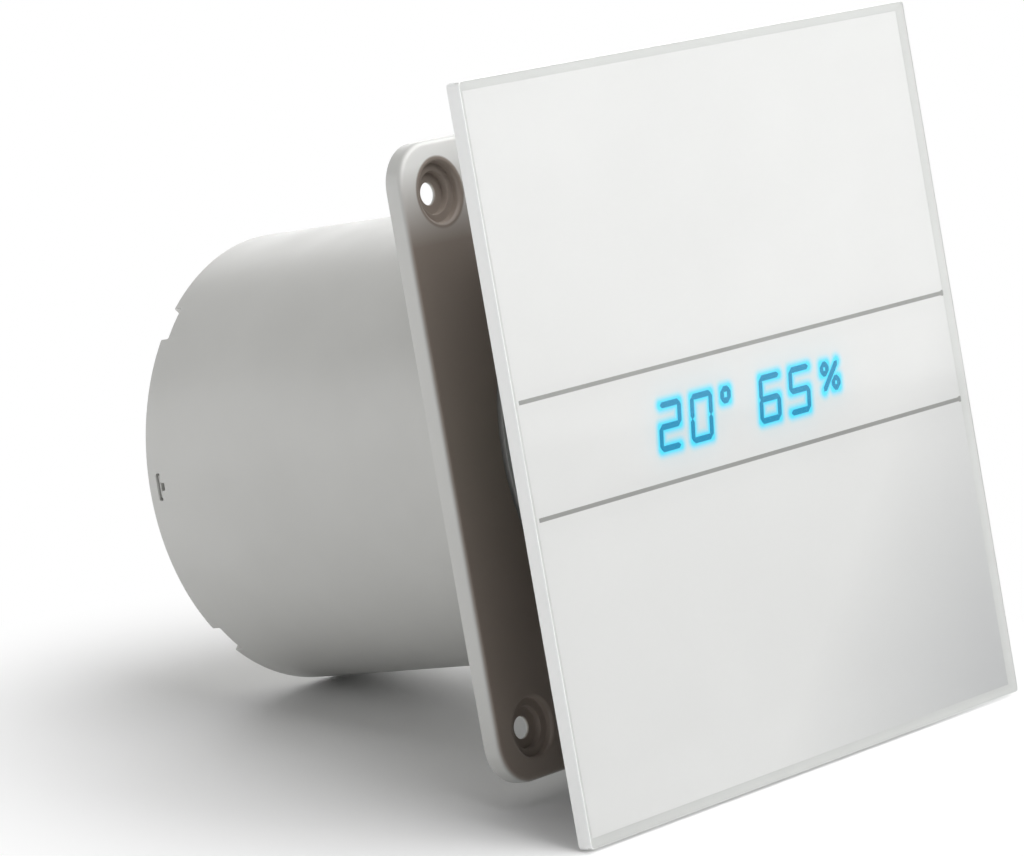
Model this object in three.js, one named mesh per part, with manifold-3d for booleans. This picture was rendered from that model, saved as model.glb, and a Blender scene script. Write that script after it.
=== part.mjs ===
// Wall-mounted axial extractor fan for a 100 mm duct, with a square glass front and a two-value display.
// Millimetres. +Z up, the glass faces -Y and the duct spigot runs to +Y, into the wall.
// The origin is on the duct's axis, in the wall plane: the back face of the mounting base.
import * as THREE from "three";
import { mergeVertices } from "three/addons/utils/BufferGeometryUtils.js";
import Module from "manifold-3d";

const wasm = await Module();
wasm.setup();

// ---------- Driving dimensions ----------

const GAP = 0.3; // air left between pieces that rest on each other

const BASE_SIZE = 129;
const BASE_FRONT = -4;
const BASE_CORNER = 9;
const BASE_EDGE_ROUND = 1;

const DUCT_OUTER = 48.5;
const DUCT_INNER = 46.5;
const DUCT_END = 93;
const DUCT_SIDES = 48;
const INLET_CHAMFER = 1.5;
const NOTCH_WIDTH = 8;
const NOTCH_DEPTH = 2;
const NOTCH_ANGLES = [45, 135, 225, 315];
const CUT_OVERRUN = 1; // how far a cutting solid runs past the face it opens
const CATCH_Z = 1.2; // height of the middle of the shutter's side catches
const CATCH_HEIGHT = 5.8;
const CATCH_FRONT = 89.7;
const CATCH_BACK = 90.7;
const CATCH_NUB_HALF = 0.8;
const CATCH_NUB_DEPTH = 1;
const CATCH_PLAY = 0.25;

const SCREW_X = 53; // wall screw pockets, from the axis
const SCREW_Z = 54;
const POCKET_SIDES = 14;
const POCKET_RADIUS = 6;
const POCKET_FLOOR = -2.3;
const SEAT_RADIUS = 4.25;
const SEAT_Y = -0.9;
const SCREW_HOLE_RADIUS = 2.25;

const GLASS_SIZE = 150;
const GLASS_FRONT = -31.8;
const GLASS_BACK = -28.6;
const GLASS_CORNER = 1;
const CARRIER_SIZE = 128;
const CARRIER_CORNER = 4;
const CARRIER_FRONT = GLASS_BACK + GAP;
const CARRIER_BACK = CARRIER_FRONT + 2;
const LEG_X = 36.5;
const LEG_Z = 42;
const LEG_WIDTH = 5;
const LEG_END = -5;
const COLLAR_WALL = 1.1;
const COLLAR_CLEARANCE = 0.4;
const COLLAR_TOP = -11;

const CUP_SIDES = 28; // also the inlet guard, the motor cap and the impeller's hub
const CUP_OUTER = 25;
const CUP_WALL = 1.6;
const CUP_INNER = CUP_OUTER - CUP_WALL;
const CUP_FRONT = -9;
const CUP_BACK = 27.6;
const CUP_VENT_RADIUS = 6;
const CUP_REAR_CHAMFER = 2;
const ARM_WIDTH = 3.2;
const LEAD_ARM_WIDTH = 5.2; // the arm that carries the motor's lead
const ARM_FRONT = -1.2;
const ARM_BACK = 10;
const RING_OUTER = DUCT_INNER - GAP;
const RING_INNER = 44.9;
const RING_FRONT = 0.5;
const RING_BACK = 11;
const LEAD_GROOVE_FLOOR = 0.6;
const LEAD_GROOVE_HALF = 1.5;
const CAP_THICKNESS = 1.6;
const CAP_BACK = CUP_FRONT - GAP;
const CAP_FRONT = CAP_BACK - CAP_THICKNESS;
const CAP_SCREW_CIRCLE = 21.2;
const CAP_SCREW_ANGLES = [90, 210, 330];

const CORE_FRONT = 2;
const CORE_BACK = 16;
const CORE_MIDDLE = (CORE_FRONT + CORE_BACK) / 2;
const CORE_HALF_WIDTH = 13;
const CORE_TOP = 12;
const CORE_BOTTOM = -19;
const CORE_LEG_TOP = -14.5; // the bottom leg, which the coil is wound on
const CORE_WINDOW_TOP = -9.6;
const CORE_WINDOW_HALF = 7.5;
const BORE_RADIUS = 8.2;
const ROTOR_RADIUS = 7.8;
const SHAFT_RADIUS = 1.5;
const SHAFT_FRONT = -7.5;
const SHAFT_BACK = 55.5;
const BEARING_RADIUS = 4;
const BEARING_WIDTH = 3;
const BRACKET_SCREW_X = 10.7;
const POST_X = 10.8;
const POST_TOP_Z = 9.5;
const POST_BOTTOM_Z = -16.5;
const POST_WIDTH = 3;

const HUB_RADIUS = 20;
const HUB_WALL = 1.6;
const HUB_FRONT = 31;
const HUB_BACK = 53;
const TIP_RADIUS = 44.6;
const BLADE_COUNT = 7;
const BLADE_THICKNESS = 1.5;
const BLADE_MIDDLE = 42.5;

const GUARD_FRONT = -3.7;
const GUARD_BACK = -1.7;
const GUARD_SPOKES = 8;

const BOX_LEFT = 49.7; // the electronics cover, beside the inlet
const BOX_RIGHT = 63.4;
const BOX_HALF_HEIGHT = 44.5;
const BOX_FRONT = -19.5;
const BOX_WALL = 1.1;
const BOARD_X = 56.5;
const BOARD_HALF_WIDTH = 5.4;
const BOARD_HALF_HEIGHT = 43;
const BOARD_FRONT = -8.1;
const BOARD_BACK = -6.5;
const PART_BACK = BOARD_FRONT - GAP;
const BOX_SCREW_Z = 40;
const CABLE_Z = -31.5;
const CABLE_HOLE_RADIUS = 4.5;
const CABLE_HOLE_SIDES = 24;
const SENSOR_Z = 33.3;
const TRIMMER_HEIGHTS = { timer: -7, humidity: 7 };
const TRIMMER_RADIUS = 2;

const SHUTTER_SEAT_FRONT = 83.9;
const SHUTTER_SEAT_BACK = 86;
const SHUTTER_BACK = 90.7;
const SHUTTER_INNER = 43.2;
const SEAT_INNER = 40.5;
const PIN_Y = 88.5;
const PIN_RADIUS = 0.8;
const FLAP_RADIUS = 42.5;
const FLAP_THICKNESS = 0.9;
const KNUCKLE_RADIUS = 2.2; // each flap's knuckles lie between the other's along the pin
const KNUCKLES = { left: [[26, 34], [-14, -6]], right: [[6, 14], [-34, -26]] };
const SPRING_HALF_LENGTH = 2.6;

// ---------- Materials ----------

function material(color, roughness, metalness = 0) {
  return new THREE.MeshStandardMaterial({ color, roughness, metalness });
}

const shellPlastic = material(0xcfcfcc, 0.45);
const whitePlastic = material(0xe8e8e4, 0.5);
const darkPlastic = material(0x2c2d2f, 0.5);
const blackPlastic = material(0x18191b, 0.4);
const glass = material(0xe9edee, 0.08);
const steel = material(0xb9bcbf, 0.3, 1);
const zinc = material(0x9da1a5, 0.45, 1);
const laminations = material(0x6a6c70, 0.5, 1);
const copper = material(0xb2703a, 0.35, 1);
const rubber = material(0x26272a, 0.85);
const boardGreen = material(0x1d5a3a, 0.5);
const terminalGreen = material(0x3f8f5a, 0.5);
const trimmerWhite = material(0xe9e6da, 0.5);
const leadSheath = material(0xdad9d4, 0.6);

// ---------- Closed solids ----------

function solid(geometry) {
  const bare = geometry.clone();
  bare.deleteAttribute("normal");
  bare.deleteAttribute("uv");
  const merged = mergeVertices(bare, 1e-4);
  return new wasm.Manifold(
    new wasm.Mesh({
      numProp: 3,
      vertProperties: new Float32Array(merged.attributes.position.array),
      triVerts: new Uint32Array(merged.index.array),
    }),
  );
}

function geometryOf(manifold) {
  const mesh = manifold.getMesh();
  const geometry = new THREE.BufferGeometry();
  geometry.setAttribute("position", new THREE.BufferAttribute(mesh.vertProperties, 3));
  geometry.setIndex(new THREE.BufferAttribute(mesh.triVerts, 1));
  geometry.computeVertexNormals();
  return geometry;
}

function block(x0, x1, y0, y1, z0, z1) {
  const geometry = new THREE.BoxGeometry(x1 - x0, y1 - y0, z1 - z0);
  geometry.translate((x0 + x1) / 2, (y0 + y1) / 2, (z0 + z1) / 2);
  return solid(geometry);
}

// A round bar along Y, centred at (x, z).
function barY(radius, y0, y1, sides, x = 0, z = 0) {
  const geometry = new THREE.CylinderGeometry(radius, radius, y1 - y0, sides);
  geometry.translate(x, (y0 + y1) / 2, z);
  return solid(geometry);
}

// A round bar along Z, centred at (x, y).
function barZ(radius, z0, z1, sides, x, y) {
  const geometry = new THREE.CylinderGeometry(radius, radius, z1 - z0, sides);
  geometry.rotateX(Math.PI / 2);
  geometry.translate(x, y, (z0 + z1) / 2);
  return solid(geometry);
}

// A solid of revolution about Y, from [radius, y] points.
function turned(points, sides, x = 0, z = 0) {
  const profile = points.map(([radius, y]) => new THREE.Vector2(radius, y));
  if (points[0][0] > 0) profile.push(profile[0].clone());
  const geometry = new THREE.LatheGeometry(profile, sides);
  geometry.translate(x, 0, z);
  const result = solid(geometry);
  if (result.volume() > 0) return result;
  return solid(turnedInsideOut(geometry));
}

function turnedInsideOut(geometry) {
  const flipped = geometry.clone();
  const index = flipped.index.array;
  for (let i = 0; i < index.length; i += 3) {
    const second = index[i + 1];
    index[i + 1] = index[i + 2];
    index[i + 2] = second;
  }
  return flipped;
}

// A ring of rectangular section about Y.
function ringY(inner, outer, y0, y1, sides, x = 0, z = 0) {
  return turned([[inner, y0], [outer, y0], [outer, y1], [inner, y1]], sides, x, z);
}

// A square plate with round corners in the XZ plane, from y0 to y1; edge rounds both its rims.
function squarePlate(size, corner, y0, y1, edge = 0) {
  const half = size / 2 - edge;
  const radius = corner - edge;
  const outline = new THREE.Shape();
  outline.moveTo(-half + radius, -half);
  outline.lineTo(half - radius, -half);
  outline.absarc(half - radius, -half + radius, radius, -Math.PI / 2, 0, false);
  outline.lineTo(half, half - radius);
  outline.absarc(half - radius, half - radius, radius, 0, Math.PI / 2, false);
  outline.lineTo(-half + radius, half);
  outline.absarc(-half + radius, half - radius, radius, Math.PI / 2, Math.PI, false);
  outline.lineTo(-half, -half + radius);
  outline.absarc(-half + radius, -half + radius, radius, Math.PI, Math.PI * 1.5, false);
  const geometry = new THREE.ExtrudeGeometry(outline, {
    depth: y1 - y0 - 2 * edge,
    curveSegments: 4,
    bevelEnabled: edge > 0,
    bevelSize: edge,
    bevelThickness: edge,
    bevelSegments: 2,
  });
  geometry.rotateX(Math.PI / 2);
  geometry.translate(0, y1 - edge, 0);
  return solid(geometry);
}

// Turns a solid about the Y axis, so that its +X side comes to the angle, +Z being 90 degrees.
function aboutY(manifold, degrees) {
  return manifold.rotate([0, -degrees, 0]);
}

// A cross-slotted screw along +Y, with its head's front face at headY.
function screw(x, z, headY, headRadius, headHeight, shankRadius, tipY) {
  const slotHalf = 0.25;
  const slotDepth = 0.6;
  const slotLength = 0.7; // of the head's width
  const headSides = 12;
  const shankSides = 8;
  const slotFront = headY - CUT_OVERRUN;
  const slotFloor = headY + slotDepth;
  const head = barY(headRadius, headY, headY + headHeight, headSides, x, z);
  const shank = barY(shankRadius, headY + headHeight / 2, tipY, shankSides, x, z);
  const arm = headRadius * slotLength;
  const across = block(x - arm, x + arm, slotFront, slotFloor, z - slotHalf, z + slotHalf);
  const upright = block(x - slotHalf, x + slotHalf, slotFront, slotFloor, z - arm, z + arm);
  return head.add(shank).subtract(across).subtract(upright);
}

const fan = new THREE.Group();
const groups = {};
for (const name of ["fixed", "turning", "front", "leftFlap", "rightFlap", "timer", "humidity"]) {
  groups[name] = new THREE.Group();
  fan.add(groups[name]);
}

function piece(group, name, manifold, pieceMaterial) {
  const mesh = new THREE.Mesh(geometryOf(manifold), pieceMaterial);
  mesh.name = name;
  groups[group].add(mesh);
  return mesh;
}

// ---------- Housing: mounting base and duct spigot in one moulding ----------

function mountingBase() {
  const rounded = squarePlate(BASE_SIZE, BASE_CORNER, BASE_FRONT, -BASE_FRONT, BASE_EDGE_ROUND);
  return rounded.subtract(block(-BASE_SIZE, BASE_SIZE, 0, BASE_SIZE, -BASE_SIZE, BASE_SIZE));
}

function screwPocket(x, z) {
  const front = BASE_FRONT - CUT_OVERRUN;
  const profile = [
    [0, front],
    [POCKET_RADIUS, front],
    [POCKET_RADIUS, POCKET_FLOOR],
    [SEAT_RADIUS, POCKET_FLOOR],
    [SEAT_RADIUS, SEAT_Y],
    [SCREW_HOLE_RADIUS, SEAT_Y],
    [SCREW_HOLE_RADIUS, CUT_OVERRUN],
    [0, CUT_OVERRUN],
  ];
  return turned(profile, POCKET_SIDES, x, z);
}

function ductPassage() {
  const front = BASE_FRONT - CUT_OVERRUN;
  const back = DUCT_END + CUT_OVERRUN;
  const profile = [
    [0, front],
    [DUCT_INNER + INLET_CHAMFER + CUT_OVERRUN, front],
    [DUCT_INNER, BASE_FRONT + INLET_CHAMFER],
    [DUCT_INNER, back],
    [0, back],
  ];
  return turned(profile, DUCT_SIDES);
}

function rimNotch(degrees) {
  const half = NOTCH_WIDTH / 2;
  const inner = DUCT_INNER - CUT_OVERRUN;
  const outer = DUCT_OUTER + CUT_OVERRUN;
  const cut = block(inner, outer, DUCT_END - NOTCH_DEPTH, DUCT_END + CUT_OVERRUN, -half, half);
  return aboutY(cut, degrees);
}

function catchSlot(side) {
  const inner = side * (DUCT_INNER - CUT_OVERRUN);
  const outer = side * (DUCT_OUTER + CUT_OVERRUN);
  const low = Math.min(inner, outer);
  const high = Math.max(inner, outer);
  const half = CATCH_HEIGHT / 2;
  const nubFront = CATCH_FRONT - CATCH_NUB_DEPTH;
  const slot = block(low, high, CATCH_FRONT, CATCH_BACK, CATCH_Z - half, CATCH_Z + half);
  const nub = block(low, high, nubFront, CATCH_BACK, CATCH_Z - CATCH_NUB_HALF, CATCH_Z + CATCH_NUB_HALF);
  return slot.add(nub);
}

function legCollar(x, z) {
  const inner = LEG_WIDTH / 2 + COLLAR_CLEARANCE;
  const outer = inner + COLLAR_WALL;
  const root = BASE_FRONT + COLLAR_WALL;
  const wall = block(x - outer, x + outer, COLLAR_TOP, root, z - outer, z + outer);
  const mouth = COLLAR_TOP - CUT_OVERRUN;
  return wall.subtract(block(x - inner, x + inner, mouth, BASE_FRONT, z - inner, z + inner));
}

// The control board's bosses end just behind it, and their screw holes stay blind.
const BOSS = {
  radius: 3,
  holeRadius: 1.25,
  front: BOARD_BACK + 0.1,
  holeEnd: -1,
  sides: 20,
  holeSides: 12,
};

function boardBoss(z) {
  return barY(BOSS.radius, BOSS.front, BASE_FRONT + 1, BOSS.sides, BOARD_X, z);
}

function boardBossHole(z) {
  return barY(BOSS.holeRadius, BOSS.front - CUT_OVERRUN, BOSS.holeEnd, BOSS.holeSides, BOARD_X, z);
}

const screwPlaces = [];
const legPlaces = [];
for (const sideX of [-1, 1]) {
  for (const sideZ of [-1, 1]) {
    screwPlaces.push([sideX * SCREW_X, sideZ * SCREW_Z]);
    legPlaces.push([sideX * LEG_X, sideZ * LEG_Z]);
  }
}

function housing() {
  let body = mountingBase().add(barY(DUCT_OUTER, BASE_FRONT / 2, DUCT_END, DUCT_SIDES));
  body = body.subtract(ductPassage());
  for (const [x, z] of screwPlaces) body = body.subtract(screwPocket(x, z));
  for (const angle of NOTCH_ANGLES) body = body.subtract(rimNotch(angle));
  for (const side of [-1, 1]) body = body.subtract(catchSlot(side));
  for (const [x, z] of legPlaces) body = body.add(legCollar(x, z));
  for (const z of [-BOX_SCREW_Z, BOX_SCREW_Z]) body = body.add(boardBoss(z)).subtract(boardBossHole(z));
  const front = BASE_FRONT - CUT_OVERRUN;
  body = body.subtract(barY(CABLE_HOLE_RADIUS, front, CUT_OVERRUN, CABLE_HOLE_SIDES, BOARD_X, CABLE_Z));
  const leadSlotHalf = 1.8;
  const leadSlotFloor = -0.9;
  const leadSlotEnd = BOX_LEFT + 3;
  return body.subtract(
    block(DUCT_INNER - CUT_OVERRUN, leadSlotEnd, front, leadSlotFloor, -leadSlotHalf, leadSlotHalf),
  );
}

piece("fixed", "housing", housing(), shellPlastic);

// A rubber sleeve in the base's cable hole, with its flange inside.
function cableGrommet() {
  const bore = 3.1;
  const sleeve = CABLE_HOLE_RADIUS - GAP;
  const flange = 5.4;
  const flangeFront = -5.6;
  const flangeBack = BASE_FRONT - GAP;
  const sides = 18;
  const profile = [
    [bore, flangeFront],
    [flange, flangeFront],
    [flange, flangeBack],
    [sleeve, flangeBack],
    [sleeve, -GAP],
    [bore, -GAP],
  ];
  return turned(profile, sides, BOARD_X, CABLE_Z);
}

piece("fixed", "cable_grommet", cableGrommet(), rubber);

// ---------- Inlet guard: rings and spokes over the inlet ----------

function inletGuard() {
  const hoopInner = CUP_OUTER + 0.6;
  const hoopOuter = DUCT_INNER - GAP;
  const ringWidth = 1.4;
  const spokeWidth = 1.6;
  const spokeOverlap = 0.5;
  const spokeFront = GUARD_FRONT + 0.4;
  const innerRings = [30.6, 35.2, 39.8];
  let guard = ringY(hoopInner, hoopInner + ringWidth, GUARD_FRONT, GUARD_BACK, CUP_SIDES);
  for (const radius of [...innerRings, hoopOuter - ringWidth]) {
    guard = guard.add(ringY(radius, radius + ringWidth, GUARD_FRONT, GUARD_BACK, CUP_SIDES));
  }
  const spokeStart = hoopInner + spokeOverlap;
  const spokeEnd = hoopOuter - spokeOverlap;
  const spoke = block(spokeStart, spokeEnd, spokeFront, GUARD_BACK, -spokeWidth / 2, spokeWidth / 2);
  for (let i = 0; i < GUARD_SPOKES; i++) {
    guard = guard.add(aboutY(spoke, (360 / GUARD_SPOKES) * (i + 0.5)));
  }
  const notchStart = RING_INNER - 3;
  const notchHalf = 1.7; // room for the motor's lead
  const front = GUARD_FRONT - CUT_OVERRUN;
  const back = GUARD_BACK + CUT_OVERRUN;
  return guard.subtract(block(notchStart, DUCT_INNER, front, back, -notchHalf, notchHalf));
}

piece("fixed", "inlet_guard", inletGuard(), shellPlastic);

// ---------- Motor carrier: ring in the spigot, four arms and the motor's cup ----------

function corePost(x, z, y0, y1) {
  const half = POST_WIDTH / 2;
  return block(x - half, x + half, y0, y1, z - half, z + half);
}

const postPlaces = [-POST_X, POST_X].flatMap((x) => [[x, POST_TOP_Z], [x, POST_BOTTOM_Z]]);
const capScrewPlaces = CAP_SCREW_ANGLES.map((degrees) => [
  CAP_SCREW_CIRCLE * Math.cos(THREE.MathUtils.degToRad(degrees)),
  CAP_SCREW_CIRCLE * Math.sin(THREE.MathUtils.degToRad(degrees)),
]);

function motorCarrier() {
  const cupFloor = CUP_BACK - CUP_WALL;
  const bossRadius = 2.6;
  const bossSides = 12;
  const bossBack = 5;
  const bossHoleRadius = 1.15;
  const bossHoleSides = 8;
  const overlap = 0.5; // how far a joined piece runs into the wall that it stands on
  let body = turned(
    [
      [CUP_VENT_RADIUS, cupFloor],
      [CUP_INNER, cupFloor],
      [CUP_INNER, CUP_FRONT],
      [CUP_OUTER, CUP_FRONT],
      [CUP_OUTER, CUP_BACK - CUP_REAR_CHAMFER],
      [CUP_OUTER - CUP_REAR_CHAMFER, CUP_BACK],
      [CUP_VENT_RADIUS, CUP_BACK],
    ],
    CUP_SIDES,
  );
  const cupRoom = barY(CUP_OUTER - 0.2, CUP_FRONT, bossBack, CUP_SIDES);
  for (const [x, z] of capScrewPlaces) {
    body = body.add(barY(bossRadius, CUP_FRONT, bossBack, bossSides, x, z).intersect(cupRoom));
    body = body.subtract(barY(bossHoleRadius, CUP_FRONT - CUT_OVERRUN, bossBack - 1, bossHoleSides, x, z));
  }
  for (const [x, z] of postPlaces) body = body.add(corePost(x, z, CORE_BACK + GAP, cupFloor + overlap));
  body = body.add(ringY(RING_INNER, RING_OUTER, RING_FRONT, RING_BACK, DUCT_SIDES));
  const armStart = CUP_OUTER - overlap;
  const armEnd = RING_INNER + overlap;
  const arm = block(armStart, armEnd, ARM_FRONT, ARM_BACK, -ARM_WIDTH / 2, ARM_WIDTH / 2);
  const leadArm = block(armStart, armEnd, ARM_FRONT, ARM_BACK, -LEAD_ARM_WIDTH / 2, LEAD_ARM_WIDTH / 2);
  for (const degrees of [90, 180, 270]) body = body.add(aboutY(arm, degrees));
  body = body.add(leadArm);
  const grooveStart = CUP_INNER - CUT_OVERRUN;
  const grooveEnd = RING_OUTER + CUT_OVERRUN;
  const grooveFront = ARM_FRONT - CUT_OVERRUN;
  return body.subtract(
    block(grooveStart, grooveEnd, grooveFront, LEAD_GROOVE_FLOOR, -LEAD_GROOVE_HALF, LEAD_GROOVE_HALF),
  );
}

piece("fixed", "motor_carrier", motorCarrier(), shellPlastic);

// The cap closes the cup towards the room, and its posts press the core against the carrier's posts.
function motorCap() {
  const overlap = 0.5;
  const spigotInner = CUP_INNER - 1.6;
  const spigotOuter = CUP_INNER - 0.4;
  const spigotBack = CAP_BACK + 1.7;
  const bossRoomRadius = 3.1; // lets the spigot pass the cup's screw bosses
  const screwHoleRadius = 1.35;
  const profile = [
    [0, CAP_FRONT],
    [CUP_OUTER - 1.5, CAP_FRONT],
    [CUP_OUTER, CAP_FRONT + 1],
    [CUP_OUTER, CAP_BACK],
    [0, CAP_BACK],
  ];
  let cap = turned(profile, CUP_SIDES);
  cap = cap.add(ringY(spigotInner, spigotOuter, CAP_BACK - overlap, spigotBack, CUP_SIDES));
  for (const [x, z] of capScrewPlaces) {
    cap = cap.subtract(barY(bossRoomRadius, CAP_BACK, spigotBack + CUT_OVERRUN, 12, x, z));
    cap = cap.subtract(barY(screwHoleRadius, CAP_FRONT - CUT_OVERRUN, CAP_BACK + CUT_OVERRUN, 8, x, z));
  }
  for (const [x, z] of postPlaces) cap = cap.add(corePost(x, z, CAP_BACK - overlap, CORE_FRONT - GAP));
  return cap;
}

piece("fixed", "motor_cap", motorCap(), shellPlastic);

capScrewPlaces.forEach(([x, z], i) => {
  const headRadius = 2.2;
  const headHeight = 1.2;
  const shankRadius = 1.05;
  const tip = 3;
  const head = CAP_FRONT - 0.2 - headHeight;
  piece("fixed", `cap_screw_${i + 1}`, screw(x, z, head, headRadius, headHeight, shankRadius, tip), steel);
});

// ---------- Shaded-pole motor ----------

function motorCore() {
  const corner = 2;
  const screwHoleRadius = 1.25;
  const screwHoleSides = 12;
  const outline = new THREE.Shape();
  outline.moveTo(-CORE_HALF_WIDTH, CORE_BOTTOM);
  outline.lineTo(CORE_HALF_WIDTH, CORE_BOTTOM);
  outline.lineTo(CORE_HALF_WIDTH, CORE_TOP - corner);
  outline.lineTo(CORE_HALF_WIDTH - corner, CORE_TOP);
  outline.lineTo(-CORE_HALF_WIDTH + corner, CORE_TOP);
  outline.lineTo(-CORE_HALF_WIDTH, CORE_TOP - corner);
  outline.closePath();
  const bore = new THREE.Path();
  bore.absarc(0, 0, BORE_RADIUS, 0, 2 * Math.PI, true);
  const window = new THREE.Path();
  window.moveTo(-CORE_WINDOW_HALF, CORE_LEG_TOP);
  window.lineTo(-CORE_WINDOW_HALF, CORE_WINDOW_TOP);
  window.lineTo(CORE_WINDOW_HALF, CORE_WINDOW_TOP);
  window.lineTo(CORE_WINDOW_HALF, CORE_LEG_TOP);
  window.closePath();
  outline.holes.push(bore, window);
  const geometry = new THREE.ExtrudeGeometry(outline, {
    depth: CORE_BACK - CORE_FRONT,
    curveSegments: 32,
    bevelEnabled: false,
  });
  geometry.rotateX(Math.PI / 2);
  geometry.translate(0, CORE_BACK, 0);
  let core = solid(geometry);
  for (const side of [-1, 1]) {
    const x = side * BRACKET_SCREW_X;
    const front = CORE_FRONT - CUT_OVERRUN;
    core = core.subtract(barY(screwHoleRadius, front, CORE_BACK + CUT_OVERRUN, screwHoleSides, x, 0));
    core = core.subtract(shadingSlot(side));
  }
  return core;
}

// The shading slots lie on opposite poles: one above the bore's right side, one below its left.
const SHADING = {
  x: 4.5,
  slotNear: 5,
  slotFar: 9.4,
  slotWidth: 1.6,
  wire: 0.9,
  wireHeight: 1.3,
  bend: 3.2,
};

function shadingSlot(side) {
  const half = SHADING.slotWidth / 2;
  const x = side * SHADING.x;
  const z0 = Math.min(side * SHADING.slotNear, side * SHADING.slotFar);
  const z1 = Math.max(side * SHADING.slotNear, side * SHADING.slotFar);
  return block(x - half, x + half, CORE_FRONT - CUT_OVERRUN, CORE_BACK + CUT_OVERRUN, z0, z1);
}

piece("fixed", "motor_core", motorCore(), laminations);

// A copper strap in each shading slot, with its ends bent over the core's two faces.
function shadingStrap(side) {
  const half = SHADING.wire / 2;
  const x = side * SHADING.x;
  const lowZ = side > 0 ? BORE_RADIUS - 0.4 : -BORE_RADIUS - 0.9;
  const highZ = lowZ + SHADING.wireHeight;
  const reach = side * SHADING.bend;
  const front = CORE_FRONT - GAP - SHADING.wire;
  const back = CORE_BACK + GAP + SHADING.wire;
  const bar = block(x - half, x + half, front, back, lowZ, highZ);
  const x0 = Math.min(x - half, x + reach);
  const x1 = Math.max(x + half, x + reach);
  const frontEnd = block(x0, x1, front, front + SHADING.wire, lowZ, highZ);
  const backEnd = block(x0, x1, back - SHADING.wire, back, lowZ, highZ);
  return bar.add(frontEnd).add(backEnd);
}

piece("fixed", "shading_strap_upper", shadingStrap(1), copper);
piece("fixed", "shading_strap_lower", shadingStrap(-1), copper);

const BOBBIN_WALL = 0.8;

// The bobbin is a tube round the core's bottom leg, with a flange at each end.
function coilBobbin() {
  const flangeX = 7.1;
  const flangeWidth = 0.9;
  const flangeReach = 2.4;
  const flangeZ0 = CORE_BOTTOM - 2.9;
  const flangeZ1 = CORE_WINDOW_TOP - GAP;
  const tubeZ0 = CORE_BOTTOM - GAP - BOBBIN_WALL;
  const tubeZ1 = CORE_LEG_TOP + GAP + BOBBIN_WALL;
  const tubeY0 = CORE_FRONT - GAP - BOBBIN_WALL;
  const tubeY1 = CORE_BACK + GAP + BOBBIN_WALL;
  let bobbin = block(-flangeX, flangeX, tubeY0, tubeY1, tubeZ0, tubeZ1);
  for (const side of [-1, 1]) {
    const outer = side * flangeX;
    const inner = side * (flangeX - flangeWidth);
    const x0 = Math.min(outer, inner);
    const x1 = Math.max(outer, inner);
    bobbin = bobbin.add(block(x0, x1, tubeY0 - flangeReach, tubeY1 + flangeReach, flangeZ0, flangeZ1));
  }
  const legHole = block(
    -CORE_HALF_WIDTH,
    CORE_HALF_WIDTH,
    CORE_FRONT - GAP,
    CORE_BACK + GAP,
    CORE_BOTTOM - GAP,
    CORE_LEG_TOP + GAP,
  );
  return bobbin.subtract(legHole);
}

piece("fixed", "coil_bobbin", coilBobbin(), whitePlastic);

function coilWinding() {
  const clearance = 0.2;
  const tubeOffset = GAP + BOBBIN_WALL + clearance;
  const halfLength = 5.9;
  const thick = 1.7;
  const y0 = CORE_FRONT - tubeOffset;
  const y1 = CORE_BACK + tubeOffset;
  const z0 = CORE_BOTTOM - tubeOffset;
  const z1 = CORE_LEG_TOP + tubeOffset;
  const outer = block(-halfLength, halfLength, y0 - thick, y1 + thick, z0 - thick, z1 + thick);
  const cutHalf = halfLength + CUT_OVERRUN;
  return outer.subtract(block(-cutHalf, cutHalf, y0, y1, z0, z1));
}

piece("fixed", "coil_winding", coilWinding(), copper);

// A bearing bracket is a bar with a bearing boss, on two feet that stand on the core.
function bearingBracket() {
  const barFront = -4.5;
  const barBack = -3;
  const bossFront = -6.5;
  const footBack = CORE_FRONT - GAP;
  const halfHeight = 4;
  const footWidth = 4.4;
  const footFront = barBack - 0.5;
  const bossOuter = BEARING_RADIUS + 1.8;
  const bossInner = BEARING_RADIUS + 0.1;
  const bossSides = 24;
  const screwHoleRadius = 1.25;
  const screwHoleSides = 12;
  const front = bossFront - CUT_OVERRUN;
  let bracket = block(-CORE_HALF_WIDTH, CORE_HALF_WIDTH, barFront, barBack, -halfHeight, halfHeight);
  bracket = bracket.add(barY(bossOuter, bossFront, barBack, bossSides));
  for (const side of [-1, 1]) {
    const outer = side * CORE_HALF_WIDTH;
    const inner = side * (CORE_HALF_WIDTH - footWidth);
    const x0 = Math.min(outer, inner);
    const x1 = Math.max(outer, inner);
    const screwX = side * BRACKET_SCREW_X;
    bracket = bracket.add(block(x0, x1, footFront, footBack, -halfHeight, halfHeight));
    const hole = barY(screwHoleRadius, front, footBack + CUT_OVERRUN, screwHoleSides, screwX, 0);
    bracket = bracket.subtract(hole);
  }
  return bracket.subtract(barY(bossInner, front, barBack + CUT_OVERRUN, bossSides));
}

const frontBracket = bearingBracket();
const rearBracket = frontBracket.rotate([0, 0, 180]).translate([0, 2 * CORE_MIDDLE, 0]);
piece("fixed", "front_bearing_bracket", frontBracket, zinc);
piece("fixed", "rear_bearing_bracket", rearBracket, zinc);

function ballBearing(front) {
  return ringY(SHAFT_RADIUS + 0.08, BEARING_RADIUS, front, front + BEARING_WIDTH, 18);
}

const frontBearingY = -6.3;
piece("fixed", "front_bearing", ballBearing(frontBearingY), steel);
piece("fixed", "rear_bearing", ballBearing(2 * CORE_MIDDLE - frontBearingY - BEARING_WIDTH), steel);

[-1, 1].forEach((side, i) => {
  const bracketScrew = screw(side * BRACKET_SCREW_X, 0, -6.1, 2.1, 1.3, 1, 22.2);
  piece("fixed", `bracket_screw_${i + 1}`, bracketScrew, steel);
});

// ---------- Turning parts: shaft, rotor, impeller and its clip ----------

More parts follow.
